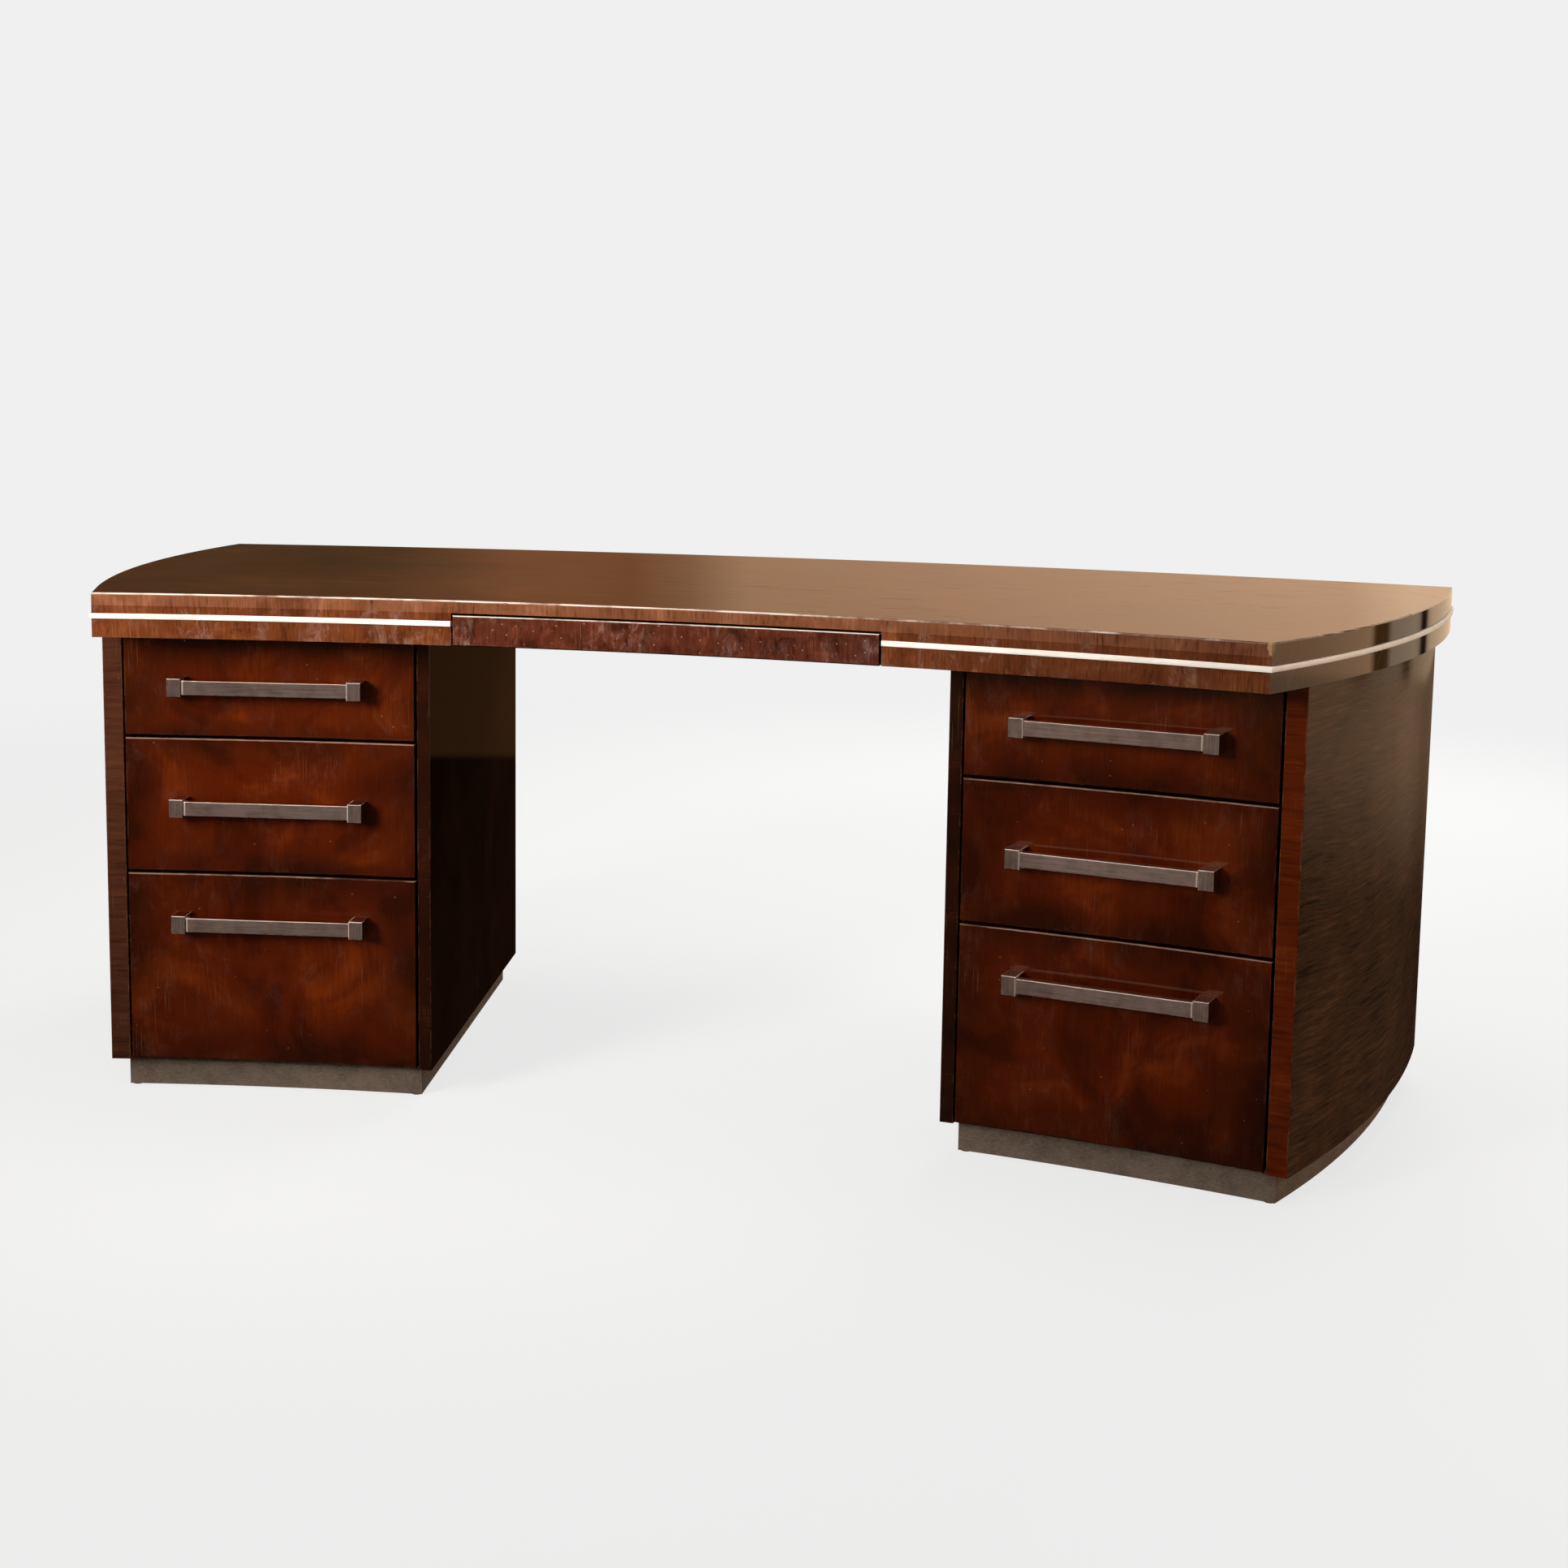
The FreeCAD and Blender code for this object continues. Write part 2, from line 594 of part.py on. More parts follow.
def make_boards(word, side):
    """The bottom and top boards of one pedestal, bored for the door's pivots, and the divider."""
    left, right = "Layout.inner_face", "Layout.outer_face"
    start = "Sizes.drawer_front_thickness + Sizes.carcase_board_setback"
    thickness = "Sizes.carcase_board_thickness"
    points = [
        (left, start),
        (right, start),
        (right, back_v(right), "out", "Sizes.pedestal_back_radius"),
        (left, back_v(left)),
    ]
    hole = "Sizes.pivot_radius + Sizes.pivot_clearance"
    pivot = ("Layout.pivot_u", "Layout.pivot_v")
    bottom = Piece(f"{word}_bottom_board", side, True).pad(points, "Sizes.plinth_height", thickness)
    bottom.bore(pivot, hole, "Layout.bay_floor - Sizes.pivot_reach", "Sizes.pivot_reach").node()
    top = Piece(f"{word}_top_board", side, True).pad(points, "Layout.bay_ceiling", thickness)
    top.bore(pivot, hole, "Layout.bay_ceiling", "Sizes.pivot_reach").node()
    divider = Piece(f"{word}_divider", side, True)
    plan = box_points(left, right, "Sizes.drawer_bay_depth", "Layout.cupboard_back")
    divider.pad(plan, "Layout.bay_floor", "Layout.bay_ceiling - Layout.bay_floor").node()


def plinth_corner(across, depth, inset):
    """A corner of the plinth's plan, moved into the plinth by an inset on both faces."""
    reach = f"Sizes.plinth_side_inset + {inset}"
    u = f"Layout.half_front - ({reach})"
    if across == "inner":
        place = f"0 - ({u})"
    else:
        place = u if depth == "front" else f"Layout.half_back - ({reach})"
    if depth == "front":
        return place, front_v(place, f"Sizes.plinth_front_inset + {inset}")
    return place, back_v(place, f"(Sizes.plinth_back_inset + {inset})")


def make_plinth(word, side):
    """The recessed plinth of one pedestal: four mitred rails."""
    thickness = "Sizes.plinth_thickness"
    ring = [("inner", "front"), ("outer", "front"), ("outer", "back"), ("inner", "back")]
    front_radius = "Layout.pedestal_radius + Sizes.plinth_front_inset"
    side_radius = "Sizes.pedestal_side_radius - Sizes.plinth_side_inset"
    back_radius = "Sizes.pedestal_back_radius - Sizes.plinth_back_inset"
    edges = {
        "front": (("in", front_radius), ("out", f"{front_radius} + {thickness}")),
        "outer": (("out", side_radius), ("in", f"{side_radius} - {thickness}")),
        "back": (("out", back_radius), ("in", f"{back_radius} - {thickness}")),
        "inner": ((), ()),
    }
    rails = []
    for corner, following, (name, (shown, hidden)) in zip(ring, ring[1:] + ring[:1], edges.items()):
        points = [
            (*plinth_corner(*corner, "0"), *shown),
            plinth_corner(*following, "0"),
            (*plinth_corner(*following, thickness), *hidden),
            plinth_corner(*corner, thickness),
        ]
        rail = Piece(f"{word}_plinth_{name}", side, True)
        rails.append(rail.pad(points, "Sizes.glide_height", "Sizes.plinth_height - Sizes.glide_height"))
    group(f"{word}_plinth", rails)


def make_floor_glides():
    """Round glides under the corners of both plinths."""
    glides = []
    for word, side in SIDES.items():
        for across in ("inner", "outer"):
            for depth in ("front", "back"):
                centre = plinth_corner(across, depth, "Sizes.plinth_thickness / 2")
                glide = Piece(f"{word}_{across}_{depth}_glide", side, True)
                glides.append(glide.post(centre, "Sizes.glide_radius", "0", "Sizes.glide_height"))
    group("floor_glides", glides)


def top_end(v, inset):
    """Reach of the top's end in a pedestal's frame at a depth, moved into the desk by an inset."""
    rise = f"pow({v} - Layout.end_v; 2)"
    return f"(Layout.end_u + sqrt(pow(Sizes.top_end_radius - ({inset}); 2) - {rise}))"


def make_top_bearers():
    """Bearers on the pedestals, set in from the frieze, which carry the top board."""
    bearers = []
    near, far = "Sizes.bearer_setback", "(Layout.frieze_back_v - Sizes.bearer_setback)"
    width, inset = "Sizes.bearer_width", "Sizes.frieze_thickness + Sizes.bearer_inset"
    start = "Layout.inner_face + Sizes.bearer_inset"
    plans = {
        "inner": box_points(start, f"{start} + {width}", near, far),
        "outer": [
            (f"{top_end(near, inset)} - {width}", near),
            (top_end(near, inset), near),
            (top_end(far, inset), far),
            (f"{top_end(far, inset)} - {width}", far),
        ],
    }
    for word, side in SIDES.items():
        for name, plan in plans.items():
            bearer = Piece(f"{word}_{name}_bearer", side, True)
            bearers.append(bearer.pad(plan, "Layout.slab_bottom", "Sizes.frieze_height"))
    group("top_bearers", bearers)


def channel(face, way, low, height, lip):
    """Section of a channel whose web lies on a face and whose lips point one way from it."""
    tip, web = f"{face} {way} {lip}", f"{face} {way} Sizes.runner_gauge"
    high = f"{low} + {height}"
    upper, lower = f"{high} - Sizes.runner_gauge", f"{low} + Sizes.runner_gauge"
    foot = [(face, low), (tip, low), (tip, lower), (web, lower)]
    return foot + [(web, upper), (tip, upper), (tip, high), (face, high)]


def box_low(drawer):
    """Height of the underside of a drawer's box."""
    return f"(Layout.{drawer}_drawer_low + Sizes.box_lift)"


def make_fixed_runners(word, side):
    """The channels on the pedestal's sides in which the drawers run."""
    runners = []
    near = "Sizes.drawer_front_thickness + Sizes.carcase_board_setback"
    length = "Layout.box_depth - Sizes.carcase_board_setback"
    for drawer in DRAWERS:
        low = f"{box_low(drawer)} + Sizes.runner_lift"
        for name, way in (("inner", "+"), ("outer", "-")):
            face = f"Layout.{name}_face"
            section = channel(face, way, low, "Sizes.runner_height", "Sizes.runner_lip")
            runner = Piece(f"{word}_{drawer}_{name}_channel", side, True)
            runners.append(runner.rail(section, near, length))
    group(f"{word}_fixed_runners", runners)


def make_moving_runners(name, side, drawer):
    """The channels on one drawer's sides, nested in the fixed ones."""
    play = "Sizes.runner_gauge + Sizes.running_clearance"
    low = f"{box_low(drawer)} + Sizes.runner_lift + {play}"
    height = f"Sizes.runner_height - 2 * ({play})"
    lip = f"(Sizes.runner_width - {play.replace('+', '-')})"
    pieces = []
    for place, out, way in (("inner", "+", "-"), ("outer", "-", "+")):
        face = f"Layout.{place}_face {out} Sizes.runner_width"
        runner = Piece(f"{name}_{place}_runner", side, True)
        section = channel(face, way, low, height, lip)
        pieces.append(runner.rail(section, "Sizes.drawer_front_thickness", "Layout.box_depth"))
    group(f"{name}_runners", pieces)


def make_drawer_box(name, side, drawer):
    """One drawer's box: two sides, a back and a bottom."""
    wall = "Sizes.box_wall_thickness"
    left_out, right_out = "Layout.inner_face + Sizes.runner_width", "Layout.outer_face - Sizes.runner_width"
    left_in, right_in = f"{left_out} + {wall}", f"{right_out} - {wall}"
    start = "Sizes.drawer_front_thickness"
    end = f"{start} + Layout.box_depth"
    low = box_low(drawer)
    height = f"Layout.{drawer}_drawer_high - Sizes.box_drop - {low}"
    plans = {
        "inner_wall": box_points(left_out, left_in, start, end),
        "outer_wall": box_points(right_in, right_out, start, end),
        "back_wall": box_points(left_in, right_in, f"{end} - {wall}", end),
    }
    pieces = [Piece(f"{name}_{part}", side, True).pad(plan, low, height) for part, plan in plans.items()]
    bottom = Piece(f"{name}_bottom", side, True)
    plan = box_points(left_in, right_in, start, f"{end} - {wall}")
    pieces.append(bottom.pad(plan, f"{low} + Sizes.box_bottom_lift", "Sizes.box_bottom_thickness"))
    group(f"{name}_box", pieces)


def pull_height(drawer):
    """Height of a drawer's pull: half way up, but nearer the top of the tall lower front."""
    if drawer == "lower":
        return "Layout.lower_drawer_high - Sizes.lower_pull_drop"
    return f"(Layout.{drawer}_drawer_low + Layout.{drawer}_drawer_high) / 2"


def make_drawer_front(name, side, drawer):
    """One curved drawer front, drilled for the screws of its pull."""
    inset = "0 - Sizes.drawer_front_proud"
    left, right = "Layout.inner_face + Sizes.drawer_side_gap", "Layout.outer_face - Sizes.drawer_side_gap"
    back = "Sizes.drawer_front_thickness"
    low, high = f"Layout.{drawer}_drawer_low", f"Layout.{drawer}_drawer_high"
    points = [
        (left, front_v(left, inset), "in", f"Layout.pedestal_radius + {inset}"),
        (right, front_v(right, inset)),
        (right, back),
        (left, back),
    ]
    front = Piece(f"{name}_front", side, True).pad(points, low, f"{high} - {low}")
    front.ease("Sizes.drawer_arris_radius", within("0 - Sizes.pedestal_depth", f"{back} / 2", "y"))
    for way in ("-", "+"):
        place = (f"Layout.bay_middle {way} Layout.post_offset", pull_height(drawer))
        hole = "Sizes.screw_radius + Sizes.screw_clearance"
        front.drill(place, hole, "0 - Sizes.pull_projection", f"Sizes.pull_projection + {back}")
    front.node()


def make_drawer_pull(name, side, drawer):
    """One bar pull: two end posts that fit the curved front, a bar between them and two screws."""
    inset = "0 - Sizes.drawer_front_proud"
    tip = f"{inset} - Sizes.pull_projection"
    middle = pull_height(drawer)
    post_low = f"{middle} - Sizes.pull_post_height / 2"
    front = within("2 * (" + tip + ")", f"({tip}) / 2", "y")
    pieces = []
    for part, way in (("inner", "-"), ("outer", "+")):
        centre = f"Layout.bay_middle {way} Layout.post_offset"
        left, right = f"{centre} - Sizes.pull_post_width / 2", f"{centre} + Sizes.pull_post_width / 2"
        points = [
            (left, tip),
            (right, tip),
            (right, front_v(right, inset), "out", f"Layout.pedestal_radius + {inset}"),
            (left, front_v(left, inset)),
        ]
        post = Piece(f"{name}_{part}_post", side, True).pad(points, post_low, "Sizes.pull_post_height")
        post.ease("Sizes.pull_arris_radius", front)
        hole = "Sizes.screw_radius + Sizes.screw_clearance"
        depth = "Sizes.screw_reach + Sizes.screw_clearance"
        place = (centre, middle)
        pieces.append(post.drill(place, hole, f"0 - ({depth})", depth))
        screw = Piece(f"{name}_{part}_screw", side, True)
        thickness = "Sizes.drawer_front_thickness"
        shank = f"Sizes.screw_reach + {thickness}"
        screw.rod(place, "Sizes.screw_radius", "0 - Sizes.screw_reach", shank)
        screw.rod(place, "Sizes.screw_head_radius", thickness, "Sizes.screw_head_height")
        pieces.append(screw)
    reach = "Layout.post_offset - Sizes.pull_post_width / 2"
    near = f"{tip} + Sizes.pull_bar_setback"
    start, stop = f"Layout.bay_middle - ({reach})", f"Layout.bay_middle + ({reach})"
    plan = box_points(start, stop, near, f"{near} + Sizes.pull_bar_thickness")
    bar = Piece(f"{name}_bar", side, True)
    bar.pad(plan, f"{middle} - Sizes.pull_bar_height / 2", "Sizes.pull_bar_height")
    pieces.append(bar.ease("Sizes.pull_arris_radius", along("x")))
    group(f"{name}_pull", pieces)


def make_door(word, side):
    """The cupboard door on the far side, bored for its pivots and drilled for its pull."""
    left, right = "Layout.inner_face + Sizes.door_gap", "Layout.outer_face - Sizes.door_gap"
    low, high = "Layout.door_low", "Layout.door_high"
    inside = "Layout.door_inside"
    points = [
        (left, inside),
        (right, inside),
        (right, back_v(right), "out", "Sizes.pedestal_back_radius"),
        (left, back_v(left)),
    ]
    door = Piece(f"{word}_door", side, True).pad(points, low, f"{high} - {low}")
    show = within(f"{inside} + Sizes.door_thickness / 2", "2 * Sizes.pedestal_depth", "y")
    door.ease("Sizes.drawer_arris_radius", show)
    pivot = ("Layout.pivot_u", "Layout.pivot_v")
    hole = "Sizes.pivot_radius + Sizes.pivot_clearance"
    door.bore(pivot, hole, low, "Sizes.pivot_reach")
    door.bore(pivot, hole, f"{high} - Sizes.pivot_reach", "Sizes.pivot_reach")
    for way in ("-", "+"):
        place = ("Layout.door_pull_u", f"({low} + {high}) / 2 {way} Layout.post_offset")
        hole = "Sizes.screw_radius + Sizes.screw_clearance"
        door.drill(place, hole, inside, "Sizes.door_thickness")
    door.node()


def make_door_pull(word, side):
    """The door's upright bar pull, made like the drawer pulls."""
    centre = "Layout.door_pull_u"
    face = back_v(centre)
    tip = f"{face} + Sizes.pull_projection"
    middle = "(Layout.door_low + Layout.door_high) / 2"
    left, right = f"{centre} - Sizes.pull_post_height / 2", f"{centre} + Sizes.pull_post_height / 2"
    points = [
        (left, back_v(left), "in", "Sizes.pedestal_back_radius"),
        (right, back_v(right)),
        (right, tip),
        (left, tip),
    ]
    show = within(f"{face} + Sizes.pull_projection / 2", "2 * Sizes.pedestal_depth", "y")
    pieces = []
    for part, way in (("lower", "-"), ("upper", "+")):
        height = f"{middle} {way} Layout.post_offset"
        post = Piece(f"{word}_door_{part}_post", side, True)
        post.pad(points, f"{height} - Sizes.pull_post_width / 2", "Sizes.pull_post_width")
        post.ease("Sizes.pull_arris_radius", show)
        hole = "Sizes.screw_radius + Sizes.screw_clearance"
        start = "Sizes.pedestal_depth - Sizes.pull_projection"
        depth = "Sizes.pull_projection + Sizes.screw_reach + Sizes.screw_clearance"
        pieces.append(post.drill((centre, height), hole, start, depth))
        screw = Piece(f"{word}_door_{part}_screw", side, True)
        place, inside = (centre, height), "Layout.door_inside"
        screw.rod(place, "Sizes.screw_radius", inside, "Sizes.door_thickness + Sizes.screw_reach")
        head = f"{inside} - Sizes.screw_head_height"
        screw.rod(place, "Sizes.screw_head_radius", head, "Sizes.screw_head_height")
        pieces.append(screw)
    reach = "(Layout.post_offset - Sizes.pull_post_width / 2)"
    outer = f"{tip} - Sizes.pull_bar_setback"
    bar = Piece(f"{word}_door_bar", side, True)
    plan = box_points(
        f"{centre} - Sizes.pull_bar_height / 2",
        f"{centre} + Sizes.pull_bar_height / 2",
        f"{outer} - Sizes.pull_bar_thickness",
        outer,
    )
    bar.pad(plan, f"{middle} - {reach}", f"2 * {reach}")
    pieces.append(bar.ease("Sizes.pull_arris_radius", along("z")))
    group(f"{word}_door_pull", pieces)


def make_cupboard_fittings():
    """Pivot pins with collars, shelves on bearers, and door catches, for both cupboards."""
    pins, shelves, bearers, catches = [], [], [], []
    left, right = "Layout.inner_face", "Layout.outer_face"
    pivot = ("Layout.pivot_u", "Layout.pivot_v")
    length = "2 * Sizes.pivot_reach + Sizes.door_gap - 2 * Sizes.pivot_clearance"
    collar = "(Sizes.door_gap - Sizes.running_clearance)"
    shelf_end = "Layout.door_inside - Sizes.shelf_setback"
    for word, side in SIDES.items():
        foot = "Sizes.pivot_reach - Sizes.pivot_clearance"
        pin = Piece(f"{word}_lower_pivot", side, True)
        pin.post(pivot, "Sizes.pivot_radius", f"Layout.bay_floor - ({foot})", length)
        pins.append(pin.post(pivot, "Sizes.pivot_collar_radius", "Layout.bay_floor", collar))
        pin = Piece(f"{word}_upper_pivot", side, True)
        pin.post(pivot, "Sizes.pivot_radius", f"Layout.door_high - ({foot})", length)
        pins.append(pin.post(pivot, "Sizes.pivot_collar_radius", f"Layout.bay_ceiling - {collar}", collar))
        shelf = Piece(f"{word}_shelf", side, True)
        start, stop = f"{left} + Sizes.shelf_clearance", f"{right} - Sizes.shelf_clearance"
        plan = box_points(start, stop, "Layout.cupboard_back", shelf_end)
        shelves.append(shelf.pad(plan, "Layout.shelf_low", "Sizes.shelf_thickness"))
        spans = {
            "inner": (left, f"{left} + Sizes.shelf_bearer_size"),
            "outer": (f"{right} - Sizes.shelf_bearer_size", right),
        }
        for name, (near, far) in spans.items():
            bearer = Piece(f"{word}_{name}_shelf_bearer", side, True)
            plan = box_points(near, far, "Layout.cupboard_back", shelf_end)
            low = "Layout.shelf_low - Sizes.shelf_bearer_size"
            bearers.append(bearer.pad(plan, low, "Sizes.shelf_bearer_size"))
        catch = Piece(f"{word}_catch", side, True)
        start = f"{left} + Sizes.catch_inset"
        face = "Layout.door_inside - Sizes.running_clearance"
        plan = box_points(start, f"{start} + Sizes.catch_length", f"{face} - Sizes.catch_width", face)
        catches.append(catch.pad(plan, "Layout.bay_ceiling - Sizes.catch_height", "Sizes.catch_height"))
    group("door_pivots", pins)
    group("cupboard_shelves", shelves)
    group("shelf_bearers", bearers)
    group("door_catches", catches)


def make_pedestal(word, side):
    """One pedestal with its plinth, drawers and door."""
    make_sides(word, side)
    make_boards(word, side)
    make_plinth(word, side)
    make_fixed_runners(word, side)
    for drawer in DRAWERS:
        name = f"{word}_{drawer}_drawer"
        make_drawer_front(name, side, drawer)
        make_drawer_box(name, side, drawer)
        make_drawer_pull(name, side, drawer)
        make_moving_runners(name, side, drawer)
    make_door(word, side)
    make_door_pull(word, side)


def write_parts():
    """Checks every object and writes one file per sub-part."""
    doc.recompute()
    for item in doc.Objects:
        if {"Invalid", "Error"} & set(item.State):
            raise RuntimeError(f"{item.Label}: {item.State}")
    for item in nodes:
        if item.Shape.isNull() or not item.Shape.isValid() or not item.Shape.Solids:
            raise RuntimeError(f"{item.Label} has no valid solid")
    os.makedirs("parts", exist_ok=True)
    for item in nodes:
        item.Shape.exportStep(f"parts/{item.Label}.step")
    print(f"{len(nodes)} sub-parts written")


make_top()
make_frieze()
make_guides()
make_pencil_drawer()
for side_word, side_sign in SIDES.items():
    make_pedestal(side_word, side_sign)
make_cupboard_fittings()
make_top_bearers()
make_floor_glides()
write_parts()
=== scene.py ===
"""Partners desk in shaded mahogany lacquer, dressed for a studio picture.

The frame is in metres: +X to the sitter's right, +Y to the partner's side, +Z up. Most pieces keep
their mesh. The metal band and the drawer boxes are rebuilt with rounded edges and joints.
"""

import logging
import math
from dataclasses import dataclass, field, replace
from enum import Enum

import bmesh
import bpy
from mathutils import Matrix, Vector


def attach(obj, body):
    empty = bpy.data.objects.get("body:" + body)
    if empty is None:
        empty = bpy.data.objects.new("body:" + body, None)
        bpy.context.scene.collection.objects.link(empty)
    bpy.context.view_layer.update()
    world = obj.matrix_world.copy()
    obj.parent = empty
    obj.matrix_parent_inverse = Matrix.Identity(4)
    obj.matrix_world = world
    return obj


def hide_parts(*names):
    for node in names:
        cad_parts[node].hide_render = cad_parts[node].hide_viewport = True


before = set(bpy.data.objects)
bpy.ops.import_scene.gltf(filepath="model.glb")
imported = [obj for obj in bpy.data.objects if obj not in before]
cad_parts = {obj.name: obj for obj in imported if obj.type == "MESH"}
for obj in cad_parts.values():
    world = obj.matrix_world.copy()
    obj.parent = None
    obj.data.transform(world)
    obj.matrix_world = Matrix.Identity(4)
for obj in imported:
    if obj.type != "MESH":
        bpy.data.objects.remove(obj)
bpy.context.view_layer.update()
LOG = logging.getLogger("partners_desk")

Colour = tuple[float, float, float, float]
Triple = tuple[float, float, float]
Pair = tuple[float, float]
Limits = tuple[float, ...]
Socket = bpy.types.NodeSocket
Outputs = bpy.types.bpy_prop_collection
Feed = Socket | float | tuple
Names = tuple[str, ...]

SIDES = {"left": -1, "right": 1}
BEVEL_SAMPLES = 4
SMALLEST = 1e-5
FLAT_TURN = math.radians(0.05)
SHARP_TURN = math.radians(40.0)
SMOOTH_TURN = math.radians(35.0)


def tone(*screen: int) -> Colour:
    """Turns red, green and blue as seen on a screen, from 0 to 255, into a shader's linear colour."""
    parts = (part / 255 for part in screen)
    return (*(v / 12.92 if v <= 0.04045 else ((v + 0.055) / 1.055) ** 2.4 for v in parts), 1.0)


PORE_TONE = tone(60, 34, 20)
# Painted shade for faces turned to the sides.
END_SHADE_TONE = tone(44, 22, 10)
BORDER_TONE = tone(24, 8, 4)
# Painted shade in the gaps between parts.
GAP_SHADE_TONE = tone(9, 4, 3)
HAIRLINE_TONE = tone(158, 128, 108)
SPECK_TONE = tone(176, 146, 122)
SCUFF_TONE = tone(192, 160, 146)
FILM_TONE = tone(150, 132, 116)
POWDER_TONE = tone(170, 155, 140)
# Partly worn metal, partly a painted highlight, on a pull's upper arrises and joints.
RUB_AND_HIGHLIGHT_TONE = tone(232, 208, 194)
HAIRLINE_RUNS = (((0.0, 0.30, 0.2), (700.0, 700.0, 14.0)), ((0.2, 0.9, 0.1), (700.0, 500.0, 20.0)))
SCUFF_SQUEEZE = (48.0, 48.0, 26.0)
DASH_SQUEEZE = (13.0, 95.0, 1.0)


class Graph:
    """Adds nodes to one tree, feeds their sockets and hands back what they put out."""

    def __init__(self, tree: bpy.types.NodeTree) -> None:
        """Keeps the tree."""
        self.tree = tree

    def feed(self, node: bpy.types.Node, feeds: dict) -> None:
        """Feeds a node.

        Args:
            node: The node.
            feeds: What goes into each socket, by its name or number: another socket or a value.
        """
        for key, value in feeds.items():
            if isinstance(value, Socket):
                self.tree.links.new(value, node.inputs[key])
            else:
                node.inputs[key].default_value = value

    def node(self, kind: str, feeds: dict | None = None, **settings: object) -> bpy.types.Node:
        """Adds one shader node.

        Args:
            kind: The node's type, without the words that all of them start with.
            feeds: What goes into its sockets.
            **settings: The node's own options.

        Returns:
            The node.
        """
        node = self.tree.nodes.new(f"ShaderNode{kind}")
        for key, value in settings.items():
            setattr(node, key, value)
        self.feed(node, feeds or {})
        return node

    def add(self, kind: str, feeds: dict | None = None, **settings: object) -> Outputs:
        """Adds one shader node and hands back its outputs."""
        return self.node(kind, feeds, **settings).outputs

    def math(self, operation: str, first: Feed, second: Feed = 0.0, clamp: bool = False) -> Socket:
        """Adds a sum of two numbers, which stays from 0 to 1 if it is clamped."""
        return self.add("Math", {0: first, 1: second}, operation=operation, use_clamp=clamp)[0]

    def times(self, first: Feed, second: Feed, clamp: bool = False) -> Socket:
        """Multiplies two numbers."""
        return self.math("MULTIPLY", first, second, clamp)

    def most(self, first: Feed, second: Feed) -> Socket:
        """Picks the larger of two numbers."""
        return self.math("MAXIMUM", first, second)

    def rest(self, share: Feed) -> Socket:
        """Takes a share from 1."""
        return self.math("SUBTRACT", 1.0, share)

    def size(self, value: Feed) -> Socket:
        """Drops a number's sign."""
        return self.math("ABSOLUTE", value)

    def vector(self, operation: str, first: Feed, second: Feed = (0.0, 0.0, 0.0)) -> Socket:
        """Adds a sum of two vectors, whose result is a number for a length or a dot product."""
        output = "Value" if operation in ("LENGTH", "DOT_PRODUCT") else "Vector"
        return self.add("VectorMath", {0: first, 1: second}, operation=operation)[output]

    def parts(self, vector: Feed) -> Outputs:
        """Splits a vector into its X, Y and Z."""
        return self.add("SeparateXYZ", {0: vector})

    def span(self, value: Feed, low: float, high: float, start: Feed = 0.0, end: Feed = 1.0) -> Socket:
        """Eases a value from the range low to high, which may fall, into the range start to end."""
        feeds = {0: value, 1: low, 2: high, 3: start, 4: end}
        return self.add("MapRange", feeds, interpolation_type="SMOOTHSTEP")[0]

    def mix(self, share: Feed, first: Feed, second: Feed) -> Socket:
        """Mixes a share of the second number into the first."""
        return self.add("Mix", {0: share, 2: first, 3: second}, data_type="FLOAT")[0]

    def blend(self, share: Feed, first: Feed, second: Feed, mode: str = "MIX") -> Socket:
        """Mixes a share of the second colour into the first."""
        return self.add("Mix", {0: share, 6: first, 7: second}, data_type="RGBA", blend_type=mode)[2]

    def noise(
        self, place: Feed, scale: Feed, detail: float, rough: float = 0.5, warp: float = 0.0
    ) -> Socket:
        """Adds cloudy noise round a half, with a scale in clouds a metre and a number of finer layers."""
        feeds = {"Vector": place, "Scale": scale, "Detail": detail, "Roughness": rough, "Distortion": warp}
        return self.add("TexNoise", feeds)[0]

    def cloud(self, place: Feed, scale: Feed, detail: float, rough: float, *limits: Feed) -> Socket:
        """Adds cloudy noise that is eased as a span is."""
        return self.span(self.noise(place, scale, detail, rough), *limits)

    def rounded(self, radius: Feed) -> Socket:
        """Finds the way that the surface would face if its arrises were rounded."""
        return self.add("Bevel", {"Radius": radius}, samples=BEVEL_SAMPLES)[0]

    def group(self, name: str, feeds: dict) -> Outputs:
        """Places a node group and hands back its outputs."""
        return self.add("Group", feeds, node_tree=bpy.data.node_groups[name])


class SocketKind(Enum):
    """Kinds of socket on a node group."""

    NUMBER = "NodeSocketFloat"
    COLOUR = "NodeSocketColor"
    VECTOR = "NodeSocketVector"


SOCKET_KINDS = dict.fromkeys(("Place", "Stretch", "Spot"), SocketKind.VECTOR)
SOCKET_KINDS |= dict.fromkeys(("Dark", "Mid", "Light", "Colour"), SocketKind.COLOUR)


class Effect(Graph):
    """A surface effect that finishes share: a node group with named sockets, which is built once."""

    def __init__(self, name: str, takes: Names, gives: Names = ("Mask",)) -> None:
        """Starts the node group.

        Args:
            name: The effect's name.
            takes: The labels of its inputs.
            gives: The labels of its outputs.
        """
        super().__init__(bpy.data.node_groups.new(name, "ShaderNodeTree"))
        for way, labels in (("INPUT", takes), ("OUTPUT", gives)):
            for label in labels:
                kind = SOCKET_KINDS.get(label, SocketKind.NUMBER)
                self.tree.interface.new_socket(name=label, in_out=way, socket_type=kind.value)
        self.reads = self.tree.nodes.new("NodeGroupInput").outputs

    def give(self, *results: Socket) -> None:
        """Feeds the group's outputs, in their order."""
        self.feed(self.tree.nodes.new("NodeGroupOutput"), dict(enumerate(results)))


